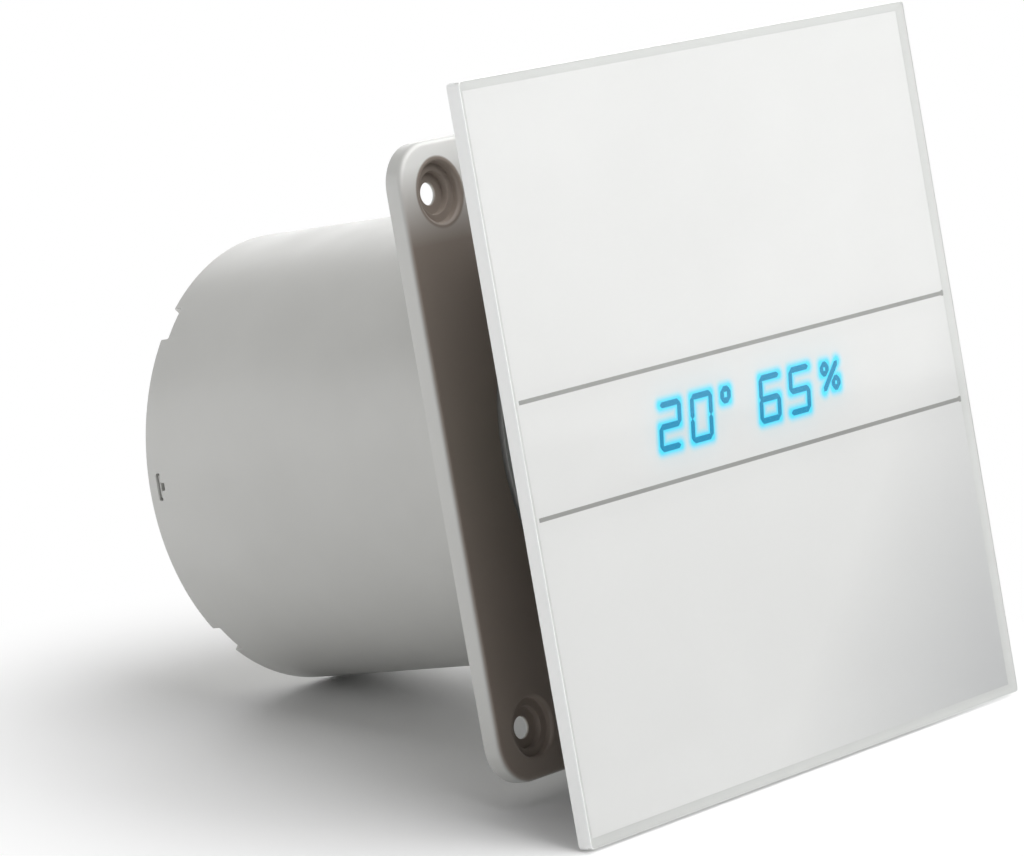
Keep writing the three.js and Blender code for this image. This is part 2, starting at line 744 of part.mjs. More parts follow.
const SHAFT_SIDES = 16;
const shaftBore = SHAFT_RADIUS + 0.06;

const shaft = barY(SHAFT_RADIUS, SHAFT_FRONT, SHAFT_BACK, SHAFT_SIDES);
piece("turning", "motor_shaft", shaft, steel);

const rotorSides = 24;
piece("turning", "rotor", ringY(shaftBore, ROTOR_RADIUS, CORE_FRONT, CORE_BACK, rotorSides), zinc);

const clipRadius = 3.8;
const clipBack = HUB_BACK + 1.1;
piece("turning", "shaft_clip", ringY(shaftBore, clipRadius, HUB_BACK + GAP, clipBack, SHAFT_SIDES), steel);

// One blade, bent from a flat box: it twists and narrows its pitch from root to tip.
function blade() {
  const rootRadius = HUB_RADIUS - 0.8;
  const spanSteps = 4;
  const chordSteps = 3;
  const rootPitch = THREE.MathUtils.degToRad(46);
  const tipPitch = THREE.MathUtils.degToRad(26);
  const rootChord = 19;
  const tipChord = 26;
  const camber = 1.8;
  const sweep = THREE.MathUtils.degToRad(12);
  const geometry = new THREE.BoxGeometry(1, 1, BLADE_THICKNESS, spanSteps, chordSteps, 1);
  const place = geometry.attributes.position;
  for (let i = 0; i < place.count; i++) {
    const along = place.getX(i) + 0.5;
    const across = place.getY(i);
    const radius = THREE.MathUtils.lerp(rootRadius, TIP_RADIUS, along);
    const pitch = THREE.MathUtils.lerp(rootPitch, tipPitch, along);
    const chord = THREE.MathUtils.lerp(rootChord, tipChord, along);
    const lift = place.getZ(i) + camber * (1 - 4 * across * across);
    const arc = chord * across * Math.cos(pitch) - lift * Math.sin(pitch);
    const depth = chord * across * Math.sin(pitch) + lift * Math.cos(pitch);
    const angle = arc / radius + sweep * along;
    place.setXYZ(i, radius * Math.cos(angle), BLADE_MIDDLE + depth, radius * Math.sin(angle));
  }
  const bent = solid(geometry);
  return bent.volume() > 0 ? bent : solid(turnedInsideOut(geometry));
}

function impeller() {
  const bossRadius = 4.6;
  const bossFront = 40;
  const innerCorner = 1.5;
  const outerCorner = 3;
  const hubInner = HUB_RADIUS - HUB_WALL;
  const hubFloor = HUB_BACK - HUB_WALL;
  let wheel = turned(
    [
      [shaftBore, bossFront],
      [bossRadius, bossFront],
      [bossRadius, hubFloor],
      [hubInner - innerCorner, hubFloor],
      [hubInner, hubFloor - innerCorner],
      [hubInner, HUB_FRONT],
      [HUB_RADIUS, HUB_FRONT],
      [HUB_RADIUS, HUB_BACK - outerCorner],
      [HUB_RADIUS - outerCorner / 3, HUB_BACK - outerCorner / 3],
      [HUB_RADIUS - outerCorner, HUB_BACK],
      [shaftBore, HUB_BACK],
    ],
    CUP_SIDES,
  );
  for (let i = 0; i < BLADE_COUNT; i++) {
    wheel = wheel.add(aboutY(blade(), (360 / BLADE_COUNT) * i));
  }
  return wheel;
}

piece("turning", "impeller", impeller(), whitePlastic);

// ---------- Electronics beside the inlet ----------

function controlBoard() {
  let board = block(
    BOARD_X - BOARD_HALF_WIDTH,
    BOARD_X + BOARD_HALF_WIDTH,
    BOARD_FRONT,
    BOARD_BACK,
    -BOARD_HALF_HEIGHT,
    BOARD_HALF_HEIGHT,
  );
  const cableRadius = 4;
  const screwHoleRadius = 1.5;
  const front = BOARD_FRONT - CUT_OVERRUN;
  const back = BOARD_BACK + CUT_OVERRUN;
  board = board.subtract(barY(cableRadius, front, back, CABLE_HOLE_SIDES, BOARD_X, CABLE_Z));
  for (const z of [-BOX_SCREW_Z, BOX_SCREW_Z]) {
    board = board.subtract(barY(screwHoleRadius, front, back, 12, BOARD_X, z));
  }
  return board;
}

piece("fixed", "control_board", controlBoard(), boardGreen);

const TERMINAL = { middle: -18.5, pitch: 5, front: -17, halfWidth: 4.8, wellRadius: 1.9, wellDepth: 3.4 };
const terminalHeights = [-1, 0, 1].map((step) => TERMINAL.middle + step * TERMINAL.pitch);

function terminalBlock() {
  const half = TERMINAL.pitch * 1.5;
  const wellFloor = TERMINAL.front + TERMINAL.wellDepth;
  const wellSides = 16;
  const x0 = BOARD_X - TERMINAL.halfWidth;
  const x1 = BOARD_X + TERMINAL.halfWidth;
  const mouth = { depth: 2.4, front: -12.6, back: -10, half: 1.3 }; // where each wire goes in
  const mouthEnd = x0 + mouth.depth;
  let body = block(x0, x1, TERMINAL.front, PART_BACK, TERMINAL.middle - half, TERMINAL.middle + half);
  for (const z of terminalHeights) {
    const front = TERMINAL.front - CUT_OVERRUN;
    body = body.subtract(barY(TERMINAL.wellRadius, front, wellFloor, wellSides, BOARD_X, z));
    const low = z - mouth.half;
    const high = z + mouth.half;
    const wireRoom = block(x0 - CUT_OVERRUN, mouthEnd, mouth.front, mouth.back, low, high);
    body = body.subtract(wireRoom);
  }
  return body;
}

piece("fixed", "terminal_block", terminalBlock(), terminalGreen);

function terminalScrew(z) {
  const radius = TERMINAL.wellRadius - GAP;
  const front = TERMINAL.front + 1;
  const back = TERMINAL.front + TERMINAL.wellDepth - GAP;
  const slotHalf = 0.3;
  const slotFloor = front + 0.6;
  const slotReach = radius + CUT_OVERRUN;
  const slotX0 = BOARD_X - slotReach;
  const slotX1 = BOARD_X + slotReach;
  const slot = block(slotX0, slotX1, front - CUT_OVERRUN, slotFloor, z - slotHalf, z + slotHalf);
  return barY(radius, front, back, 16, BOARD_X, z).subtract(slot);
}

terminalHeights.forEach((z, i) => {
  piece("fixed", `terminal_screw_${i + 1}`, terminalScrew(z), steel);
});

const RELAY = { halfWidth: 4.6, front: -17.6, bottom: 11.2, top: 21.2 };
const relayLeft = BOARD_X - RELAY.halfWidth;
const relayRight = BOARD_X + RELAY.halfWidth;
const relay = block(relayLeft, relayRight, RELAY.front, PART_BACK, RELAY.bottom, RELAY.top);
piece("fixed", "relay", relay, blackPlastic);

function capacitor() {
  const z = 25.8;
  const radius = 3.5;
  const front = -17.4;
  const corner = 0.4;
  const sides = 24;
  const profile = [
    [0, front],
    [radius - corner, front],
    [radius, front + corner],
    [radius, PART_BACK],
    [0, PART_BACK],
  ];
  return turned(profile, sides, BOARD_X, z);
}

piece("fixed", "capacitor", capacitor(), darkPlastic);

function humiditySensor() {
  const front = -13;
  const halfWidth = 3.6;
  const halfHeight = 2.6;
  const slitHalfWidth = 2.6;
  const slitHalfHeight = 0.4;
  const slitFloor = front + 1.4;
  const x0 = BOARD_X - slitHalfWidth;
  const x1 = BOARD_X + slitHalfWidth;
  const low = SENSOR_Z - halfHeight;
  const high = SENSOR_Z + halfHeight;
  let body = block(BOARD_X - halfWidth, BOARD_X + halfWidth, front, PART_BACK, low, high);
  for (const step of [-1.5, 0, 1.5]) {
    const z = SENSOR_Z + step;
    const slit = block(x0, x1, front - CUT_OVERRUN, slitFloor, z - slitHalfHeight, z + slitHalfHeight);
    body = body.subtract(slit);
  }
  return body;
}

piece("fixed", "humidity_sensor", humiditySensor(), trimmerWhite);

function displaySocket() {
  const front = -20;
  const floor = -12;
  const halfWidth = 3.6;
  const halfHeight = 2.4;
  const roomHalfWidth = 2.4;
  const roomHalfHeight = 1.4;
  const x0 = BOARD_X - roomHalfWidth;
  const x1 = BOARD_X + roomHalfWidth;
  const body = block(BOARD_X - halfWidth, BOARD_X + halfWidth, front, PART_BACK, -halfHeight, halfHeight);
  return body.subtract(block(x0, x1, front - CUT_OVERRUN, floor, -roomHalfHeight, roomHalfHeight));
}

piece("fixed", "display_socket", displaySocket(), blackPlastic);

// Each trimmer is a small square body whose slotted knob turns in a round pocket.
const TRIMMER = { halfBody: 3, bodyFront: -13, pocketFloor: -9.6, knobFront: -19.3, sides: 20 };

function trimmerBody(z) {
  const half = TRIMMER.halfBody;
  const body = block(BOARD_X - half, BOARD_X + half, TRIMMER.bodyFront, PART_BACK, z - half, z + half);
  const front = TRIMMER.bodyFront - CUT_OVERRUN;
  return body.subtract(barY(TRIMMER_RADIUS + GAP, front, TRIMMER.pocketFloor, TRIMMER.sides, BOARD_X, z));
}

function trimmerKnob(z) {
  const slotReach = 1.5;
  const slotHalf = 0.35;
  const slotFloor = TRIMMER.knobFront + 0.9;
  const x0 = BOARD_X - slotReach;
  const x1 = BOARD_X + slotReach;
  const slot = block(x0, x1, TRIMMER.knobFront - CUT_OVERRUN, slotFloor, z - slotHalf, z + slotHalf);
  const back = TRIMMER.pocketFloor - GAP;
  return barY(TRIMMER_RADIUS, TRIMMER.knobFront, back, TRIMMER.sides, BOARD_X, z).subtract(slot);
}

for (const [name, z] of Object.entries(TRIMMER_HEIGHTS)) {
  piece("fixed", `${name}_trimmer_body`, trimmerBody(z), trimmerWhite);
  piece(name, `${name}_trimmer_knob`, trimmerKnob(z), terminalGreen);
}

function electronicsCover() {
  const innerLeft = BOX_LEFT + BOX_WALL;
  const innerRight = BOX_RIGHT - BOX_WALL;
  const innerHalf = BOX_HALF_HEIGHT - BOX_WALL;
  const outside = BOX_FRONT - CUT_OVERRUN;
  const inside = BOX_FRONT + BOX_WALL + CUT_OVERRUN;
  const back = BASE_FRONT - GAP;
  const beyond = back + CUT_OVERRUN;
  const windowHalf = 4;
  const windowLeft = BOARD_X - windowHalf;
  const windowRight = BOARD_X + windowHalf;
  let cover = block(BOX_LEFT, BOX_RIGHT, BOX_FRONT, back, -BOX_HALF_HEIGHT, BOX_HALF_HEIGHT);
  cover = cover.subtract(block(innerLeft, innerRight, BOX_FRONT + BOX_WALL, beyond, -innerHalf, innerHalf));
  const pillarRadius = 2.7;
  const screwHoleRadius = 1.4;
  const pillarFront = BOX_FRONT + 0.3;
  for (const z of [-BOX_SCREW_Z, BOX_SCREW_Z]) {
    cover = cover.add(barY(pillarRadius, pillarFront, PART_BACK, 16, BOARD_X, z));
    cover = cover.subtract(barY(screwHoleRadius, outside, PART_BACK + CUT_OVERRUN, 12, BOARD_X, z));
  }
  for (const z of Object.values(TRIMMER_HEIGHTS)) {
    cover = cover.subtract(barY(TRIMMER_RADIUS + 0.4, outside, inside, TRIMMER.sides, BOARD_X, z));
  }
  const socketHalf = 2.8;
  cover = cover.subtract(block(windowLeft, windowRight, outside, inside, -socketHalf, socketHalf));
  const ventHalf = 0.6;
  for (const step of [-2.1, 0, 2.1]) {
    const z = SENSOR_Z + step;
    cover = cover.subtract(block(windowLeft, windowRight, outside, inside, z - ventHalf, z + ventHalf));
  }
  const leadFront = -6.2;
  const leadEnd = innerLeft + CUT_OVERRUN;
  const left = BOX_LEFT - CUT_OVERRUN;
  return cover.subtract(block(left, leadEnd, leadFront, beyond, -LEAD_GROOVE_HALF, LEAD_GROOVE_HALF));
}

piece("fixed", "electronics_cover", electronicsCover(), shellPlastic);

[-BOX_SCREW_Z, BOX_SCREW_Z].forEach((z, i) => {
  const headRadius = 2.4;
  const headHeight = 1.3;
  const shankRadius = 1.05;
  const tip = -2;
  const head = BOX_FRONT - GAP - headHeight;
  const coverScrew = screw(BOARD_X, z, head, headRadius, headHeight, shankRadius, tip);
  piece("fixed", `cover_screw_${i + 1}`, coverScrew, steel);
});

// The motor's flat twin lead, from under the control board along the carrier's arm into the cup.
function motorLead() {
  const thickness = 1.1;
  const width = 2.2;
  const steps = 24;
  const grooveY = LEAD_GROOVE_FLOOR - thickness / 2 - 0.2;
  const slotY = -2.9; // where the lead dips through the base's slot
  const boardY = BOARD_BACK + 1.1;
  const route = new THREE.CatmullRomCurve3(
    [
      new THREE.Vector3(CUP_INNER - 2, grooveY, 0),
      new THREE.Vector3(CUP_OUTER + 5, grooveY, 0),
      new THREE.Vector3(RING_INNER - 6, grooveY, 0),
      new THREE.Vector3(RING_INNER - 2, grooveY - 0.6, 0),
      new THREE.Vector3(DUCT_INNER + 2, slotY, 0),
      new THREE.Vector3(BOX_LEFT + 1, slotY - 1.7, 0),
      new THREE.Vector3(BOX_LEFT + 4, boardY, 0),
    ],
    false,
    "centripetal",
  );
  const section = new THREE.Shape();
  section.moveTo(-width / 2, -thickness / 2);
  section.lineTo(width / 2, -thickness / 2);
  section.lineTo(width / 2, thickness / 2);
  section.lineTo(-width / 2, thickness / 2);
  section.closePath();
  const geometry = new THREE.ExtrudeGeometry(section, { extrudePath: route, steps, bevelEnabled: false });
  const lead = solid(geometry);
  return lead.volume() > 0 ? lead : solid(turnedInsideOut(geometry));
}

piece("fixed", "motor_lead", motorLead(), leadSheath);

// ---------- Front panel: glass, carrier and display ----------

piece("front", "glass_panel", squarePlate(GLASS_SIZE, GLASS_CORNER, GLASS_FRONT, GLASS_BACK), glass);

const DISPLAY = { halfWidth: 38, halfHeight: 8.4, back: -25.9 };
const DISPLAY_BOARD = { left: -47, right: 61, halfHeight: 9.5, front: -25.7, back: -24.5 };
const DISPLAY_SCREWS_X = [-43, 46];

function panelCarrier() {
  const front = CARRIER_FRONT - CUT_OVERRUN;
  const back = CARRIER_BACK + CUT_OVERRUN;
  const windowX = DISPLAY.halfWidth + 0.6;
  const windowZ = DISPLAY.halfHeight + 0.6;
  let carrier = squarePlate(CARRIER_SIZE, CARRIER_CORNER, CARRIER_FRONT, CARRIER_BACK);
  carrier = carrier.subtract(block(-windowX, windowX, front, back, -windowZ, windowZ));
  const root = CARRIER_BACK - 0.5; // legs and ribs start inside the plate
  const half = LEG_WIDTH / 2;
  for (const [x, z] of legPlaces) {
    carrier = carrier.add(block(x - half, x + half, root, LEG_END, z - half, z + half));
  }
  const screwHoleRadius = 1.1;
  for (const x of DISPLAY_SCREWS_X) {
    carrier = carrier.subtract(barY(screwHoleRadius, front, back, 12, x, 0));
  }
  const ribHalf = 0.6;
  const ribBack = CARRIER_BACK + 2;
  const ribEnd = DISPLAY_BOARD.halfHeight + 2;
  for (const side of [-1, 1]) {
    const x = side * LEG_X;
    const z = side * LEG_Z;
    carrier = carrier.add(block(-LEG_X, LEG_X, root, ribBack, z - ribHalf, z + ribHalf));
    carrier = carrier.add(block(x - ribHalf, x + ribHalf, root, ribBack, ribEnd, LEG_Z));
    carrier = carrier.add(block(x - ribHalf, x + ribHalf, root, ribBack, -LEG_Z, -ribEnd));
  }
  return carrier;
}

piece("front", "panel_carrier", panelCarrier(), darkPlastic);

const displayModule = block(
  -DISPLAY.halfWidth,
  DISPLAY.halfWidth,
  CARRIER_FRONT,
  DISPLAY.back,
  -DISPLAY.halfHeight,
  DISPLAY.halfHeight,
);
piece("front", "display_module", displayModule, blackPlastic);

let displayBoard = block(
  DISPLAY_BOARD.left,
  DISPLAY_BOARD.right,
  DISPLAY_BOARD.front,
  DISPLAY_BOARD.back,
  -DISPLAY_BOARD.halfHeight,
  DISPLAY_BOARD.halfHeight,
);
const boardHoleRadius = 1.2;
const boardHoleFront = DISPLAY_BOARD.front - CUT_OVERRUN;
const boardHoleBack = DISPLAY_BOARD.back + CUT_OVERRUN;
for (const x of DISPLAY_SCREWS_X) {
  displayBoard = displayBoard.subtract(barY(boardHoleRadius, boardHoleFront, boardHoleBack, 12, x, 0));
}
piece("front", "display_board", displayBoard, boardGreen);

// These screws point towards the glass, so each is a turned-round copy.
DISPLAY_SCREWS_X.forEach((x, i) => {
  const headRadius = 1.9;
  const headHeight = 1.1;
  const shankRadius = 0.9;
  const length = 4;
  const forward = screw(0, 0, 0, headRadius, headHeight, shankRadius, length).rotate([0, 0, 180]);
  const headY = DISPLAY_BOARD.back + 0.2 + headHeight;
  piece("front", `display_screw_${i + 1}`, forward.translate([x, headY, 0]), steel);
});

function displayPlug() {
  const baseHalfWidth = 3;
  const baseHalfHeight = 2.2;
  const baseBack = -20.6;
  const tongueHalfWidth = 2;
  const tongueFront = baseBack - 0.4;
  const tongueBack = -14;
  const base = block(
    BOARD_X - baseHalfWidth,
    BOARD_X + baseHalfWidth,
    DISPLAY_BOARD.back + GAP,
    baseBack,
    -baseHalfHeight,
    baseHalfHeight,
  );
  const x0 = BOARD_X - tongueHalfWidth;
  const x1 = BOARD_X + tongueHalfWidth;
  return base.add(block(x0, x1, tongueFront, tongueBack, -1, 1));
}

piece("front", "display_plug", displayPlug(), blackPlastic);

// ---------- Back-draught shutter: frame, pin, spring and two flaps ----------

const PIN_SIDES = 14;

function pinRoom() {
  return barZ(PIN_RADIUS + 0.25, -DUCT_OUTER, DUCT_OUTER, PIN_SIDES, 0, PIN_Y);
}

function shutterFrame() {
  const outer = DUCT_INNER - GAP;
  let frame = turned(
    [
      [SEAT_INNER, SHUTTER_SEAT_FRONT],
      [outer, SHUTTER_SEAT_FRONT],
      [outer, SHUTTER_BACK],
      [SHUTTER_INNER, SHUTTER_BACK],
      [SHUTTER_INNER, SHUTTER_SEAT_BACK],
      [SEAT_INNER, SHUTTER_SEAT_BACK],
    ],
    DUCT_SIDES,
  );
  const barHalf = 3;
  const barEnd = (SEAT_INNER + SHUTTER_INNER) / 2;
  frame = frame.add(block(-barHalf, barHalf, SHUTTER_SEAT_FRONT, SHUTTER_SEAT_BACK, -barEnd, barEnd));
  const lugFront = CATCH_FRONT + CATCH_PLAY;
  const lugBack = CATCH_BACK - CATCH_PLAY;
  const lugHalf = CATCH_HEIGHT / 2 - 0.4;
  for (const side of [-1, 1]) {
    const inner = side * (outer - 1);
    const tip = side * (DUCT_OUTER - 0.5);
    const x0 = Math.min(inner, tip);
    const x1 = Math.max(inner, tip);
    frame = frame.add(block(x0, x1, lugFront, lugBack, CATCH_Z - lugHalf, CATCH_Z + lugHalf));
  }
  return frame.subtract(pinRoom());
}

piece("fixed", "shutter_frame", shutterFrame(), shellPlastic);

const pinHalf = RING_INNER + 0.5;
piece("fixed", "flap_pin", barZ(PIN_RADIUS, -pinHalf, pinHalf, PIN_SIDES, 0, PIN_Y), steel);

// A coil round the pin between the flaps' inner knuckles.
function flapSpring() {
  const wireRadius = 0.28;
  const coilRadius = 1.5;
  const turns = 4;
  const stepsPerTurn = 8;
  const points = [];
  for (let i = 0; i <= turns * stepsPerTurn; i++) {
    const angle = (2 * Math.PI * i) / stepsPerTurn;
    const x = coilRadius * Math.cos(angle);
    const y = PIN_Y + coilRadius * Math.sin(angle);
    const share = i / (turns * stepsPerTurn);
    const z = THREE.MathUtils.lerp(-SPRING_HALF_LENGTH, SPRING_HALF_LENGTH, share);
    points.push(new THREE.Vector3(x, y, z));
  }
  const section = new THREE.Shape();
  section.absarc(0, 0, wireRadius, 0, 2 * Math.PI, false);
  const geometry = new THREE.ExtrudeGeometry(section, {
    extrudePath: new THREE.CatmullRomCurve3(points),
    steps: turns * stepsPerTurn,
    curveSegments: 2,
    bevelEnabled: false,
  });
  const coil = solid(geometry);
  return coil.volume() > 0 ? coil : solid(turnedInsideOut(geometry));
}

piece("fixed", "flap_spring", flapSpring(), steel);

// A half disc with two knuckles round the pin; side is -1 for the left flap and 1 for the right.
// Its straight edge stops short of the pin, so that it clears the other flap's knuckles and the spring.
function flap(side, knuckles) {
  const plateFront = PIN_Y - KNUCKLE_RADIUS;
  const plateBack = plateFront + FLAP_THICKNESS;
  const knuckleSides = 20;
  const edge = side * (KNUCKLE_RADIUS + 0.45);
  const rim = side * (FLAP_RADIUS + CUT_OVERRUN);
  const halfPlane = block(
    Math.min(edge, rim),
    Math.max(edge, rim),
    plateFront - CUT_OVERRUN,
    plateBack + CUT_OVERRUN,
    -DUCT_OUTER,
    DUCT_OUTER,
  );
  let plate = barY(FLAP_RADIUS, plateFront, plateBack, DUCT_SIDES).intersect(halfPlane);
  const tongueEnd = side * (KNUCKLE_RADIUS + 1);
  for (const [z0, z1] of knuckles) {
    plate = plate.add(barZ(KNUCKLE_RADIUS, z0, z1, knuckleSides, 0, PIN_Y));
    plate = plate.add(block(Math.min(0, tongueEnd), Math.max(0, tongueEnd), plateFront, plateBack, z0, z1));
  }
  const ribHalf = 0.5;
  const ribFront = plateBack - 0.2;
  const ribBack = plateBack + 1.4;
  const ribStart = side * 8;
  const ribEnd = side * (FLAP_RADIUS - 7);
  const x0 = Math.min(ribStart, ribEnd);
  const x1 = Math.max(ribStart, ribEnd);
  return plate.add(block(x0, x1, ribFront, ribBack, -ribHalf, ribHalf)).subtract(pinRoom());
}

piece("leftFlap", "left_flap", flap(-1, KNUCKLES.left), whitePlastic);
piece("rightFlap", "right_flap", flap(1, KNUCKLES.right), whitePlastic);

export default fan;
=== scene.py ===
import math

import bmesh
import bpy
from mathutils import Matrix, Vector

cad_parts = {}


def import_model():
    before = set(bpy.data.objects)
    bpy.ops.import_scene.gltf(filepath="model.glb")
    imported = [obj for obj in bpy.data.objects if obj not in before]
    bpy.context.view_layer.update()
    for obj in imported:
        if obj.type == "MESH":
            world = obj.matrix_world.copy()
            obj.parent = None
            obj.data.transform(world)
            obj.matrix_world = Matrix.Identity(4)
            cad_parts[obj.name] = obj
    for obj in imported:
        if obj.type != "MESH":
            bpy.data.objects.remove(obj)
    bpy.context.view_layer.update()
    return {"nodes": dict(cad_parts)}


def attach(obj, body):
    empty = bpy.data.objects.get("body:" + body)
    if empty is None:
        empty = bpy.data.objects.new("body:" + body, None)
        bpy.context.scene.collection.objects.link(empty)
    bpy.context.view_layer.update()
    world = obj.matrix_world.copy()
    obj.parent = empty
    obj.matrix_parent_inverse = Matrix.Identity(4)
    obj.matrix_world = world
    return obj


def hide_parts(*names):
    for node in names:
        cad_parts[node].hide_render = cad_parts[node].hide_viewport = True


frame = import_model()

# ---------- Dimensions shared with the frame, in millimetres ----------
# The pieces are modelled in millimetres and scaled to metres when they are finished.

MM = 0.001
GAP = 0.3

BASE_SIZE = 129
BASE_FRONT = -4
BASE_CORNER = 9
DUCT_OUTER = 48.5
DUCT_INNER = 46.5
DUCT_END = 93
DUCT_SIDES = 192
INLET_CHAMFER = 1.5
NOTCH_WIDTH = 8
NOTCH_DEPTH = 2
NOTCH_ANGLES = (45, 135, 225, 315)
CATCH_Z = 1.2
CATCH_HEIGHT = 5.8
CATCH_FRONT = 89.7
CATCH_BACK = 90.7

SCREW_X = 53
SCREW_Z = 54
LEG_X = 36.5
LEG_Z = 42
LEG_WIDTH = 5
LEG_END = -5

GLASS_SIZE = 150
GLASS_FRONT = -31.8
GLASS_BACK = -28.6
CARRIER_SIZE = 128
CARRIER_FRONT = GLASS_BACK + GAP
CARRIER_BACK = CARRIER_FRONT + 2
DISPLAY_SCREW_X = (-43, 46)

BOARD_X = 56.5
BOARD_BACK = -6.5
BOX_SCREW_Z = 40
BOX_LEFT = 49.7
BOX_RIGHT = 63.4
BOX_HALF_HEIGHT = 44.5
BOX_FRONT = -19.5
BOX_WALL = 1.1
TRIMMER_HEIGHTS = (-7, 7)
SENSOR_Z = 33.3
CABLE_Z = -31.5
CABLE_HOLE_RADIUS = 4.5

# An edge sharper than this is rounded.
SHARP_DEGREES = 35

# ---------- Mesh building ----------


def solid(vertices, faces, name="piece"):
    mesh = bpy.data.meshes.new(name)
    mesh.from_pydata(vertices, [], faces)
    made = bmesh.new()
    made.from_mesh(mesh)
    bmesh.ops.recalc_face_normals(made, faces=made.faces)
    made.to_mesh(mesh)
    made.free()
    obj = bpy.data.objects.new(name, mesh)
    bpy.context.scene.collection.objects.link(obj)
    return obj


def block(x0, x1, y0, y1, z0, z1):
    vertices = [(x, y, z) for x in (x0, x1) for y in (y0, y1) for z in (z0, z1)]
    faces = [(0, 1, 3, 2), (4, 6, 7, 5), (0, 4, 5, 1), (2, 3, 7, 6), (0, 2, 6, 4), (1, 5, 7, 3)]
    return solid(vertices, faces)


def turned(profile, sides, x=0, z=0):
    """A closed solid of revolution about Y, from (radius, y) points.

    A profile that starts on the axis also ends there. Any other profile is closed into a ring.
    """
    rings = []
    vertices = []
    for radius, y in profile:
        if radius == 0:
            rings.append([len(vertices)] * sides)
            vertices.append((x, y, z))
            continue
        rings.append([len(vertices) + i for i in range(sides)])
        for i in range(sides):
            angle = 2 * math.pi * i / sides
            vertices.append((x + radius * math.cos(angle), y, z + radius * math.sin(angle)))
    faces = []
    closed = profile[0][0] > 0
    pairs = list(zip(rings, rings[1:] + rings[:1])) if closed else list(zip(rings, rings[1:]))
    for low, high in pairs:
        for i in range(sides):
            j = (i + 1) % sides
            corners = []
            for index in (low[i], low[j], high[j], high[i]):
                if index not in corners:
                    corners.append(index)
            if len(corners) > 2:
                faces.append(corners)
    return solid(vertices, faces)


def bar_y(radius, y0, y1, sides, x=0, z=0):
    return turned([(0, y0), (radius, y0), (radius, y1), (0, y1)], sides, x, z)


def ring_y(inner, outer, y0, y1, sides):
    return turned([(inner, y0), (outer, y0), (outer, y1), (inner, y1)], sides)


def rounded_square(size, corner, steps):
    """The outline of a square with round corners, as (x, z) points."""
    middle = size / 2 - corner
    points = []
    for quarter, (side_x, side_z) in enumerate([(1, 1), (-1, 1), (-1, -1), (1, -1)]):
        for step in range(steps + 1):
            angle = math.pi / 2 * (quarter + step / steps)
            x = side_x * middle + corner * math.cos(angle)
            z = side_z * middle + corner * math.sin(angle)
            points.append((x, z))
    return points


def extruded(outline, y0, y1):
    """The outline of (x, z) points, drawn out from y0 to y1."""
    count = len(outline)
    vertices = [(x, y0, z) for x, z in outline] + [(x, y1, z) for x, z in outline]
    faces = [tuple(range(count)), tuple(range(2 * count - 1, count - 1, -1))]
    for i in range(count):
        j = (i + 1) % count
        faces.append((i, j, count + j, count + i))
    return solid(vertices, faces)


def about_y(obj, degrees):
    """Turns the piece about the Y axis, so that its +X side comes to the angle, +Z being 90 degrees."""
    obj.data.transform(Matrix.Rotation(math.radians(-degrees), 4, "Y"))
    return obj


def settled(obj):
    """Puts the result of the piece's modifiers into its own mesh."""
    bpy.context.view_layer.update()
    shape = obj.evaluated_get(bpy.context.evaluated_depsgraph_get())
    mesh = bpy.data.meshes.new_from_object(shape)
    obj.modifiers.clear()
    obj.data = mesh
    return obj


def combined(obj, operation, tools):
    for tool in tools:
        step = obj.modifiers.new("step", "BOOLEAN")
        step.operation = operation
        step.solver = "MANIFOLD"
        step.object = tool
    settled(obj)
    for tool in tools:
        bpy.data.objects.remove(tool)
    return obj


def joined(obj, tools):
    return combined(obj, "UNION", tools)


def cut(obj, tools):
    return combined(obj, "DIFFERENCE", tools)


def together(parts):
    """Puts several closed shapes into one piece, each kept as it is."""
    made = bmesh.new()
    for part in parts:
        made.from_mesh(part.data)
        bpy.data.objects.remove(part)
    mesh = bpy.data.meshes.new("piece")
    made.to_mesh(mesh)
    made.free()
    obj = bpy.data.objects.new("piece", mesh)
    bpy.context.scene.collection.objects.link(obj)
    return obj


def rounded(obj, width, steps, degrees):
    """Adds a bevel to every edge that is sharper than the angle."""
    bevel = obj.modifiers.new("rounding", "BEVEL")
    bevel.width = width
    bevel.segments = steps
    bevel.limit_method = "ANGLE"
    bevel.angle_limit = math.radians(degrees)
    return bevel


def finished(obj, name, body, materials, replaces=(), edge=0.3):
    """Rounds the sharp edges, scales the piece to metres, hangs it on its body and hides the CAD nodes it
    replaces.
    """
    if edge:
        clean = obj.modifiers.new("clean", "DECIMATE")
        clean.decimate_type = "DISSOLVE"
        clean.angle_limit = math.radians(0.3)
        bevel = rounded(obj, edge, 2, SHARP_DEGREES)
        bevel.use_clamp_overlap = False
        bevel.miter_outer = "MITER_ARC"
        settled(obj)
    obj.data.transform(Matrix.Scale(MM, 4))
    obj.data.shade_smooth()
    obj.data.set_sharp_from_angle(angle=math.radians(40))
    even = obj.modifiers.new("even", "WEIGHTED_NORMAL")
    even.keep_sharp = True
    settled(obj)
    obj.name = name
    obj.data.name = name
    obj.data.materials.clear()
    for material in materials:
        obj.data.materials.append(material)
    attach(obj, body)
    for node in replaces:
        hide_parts(node)


# ---------- Materials ----------


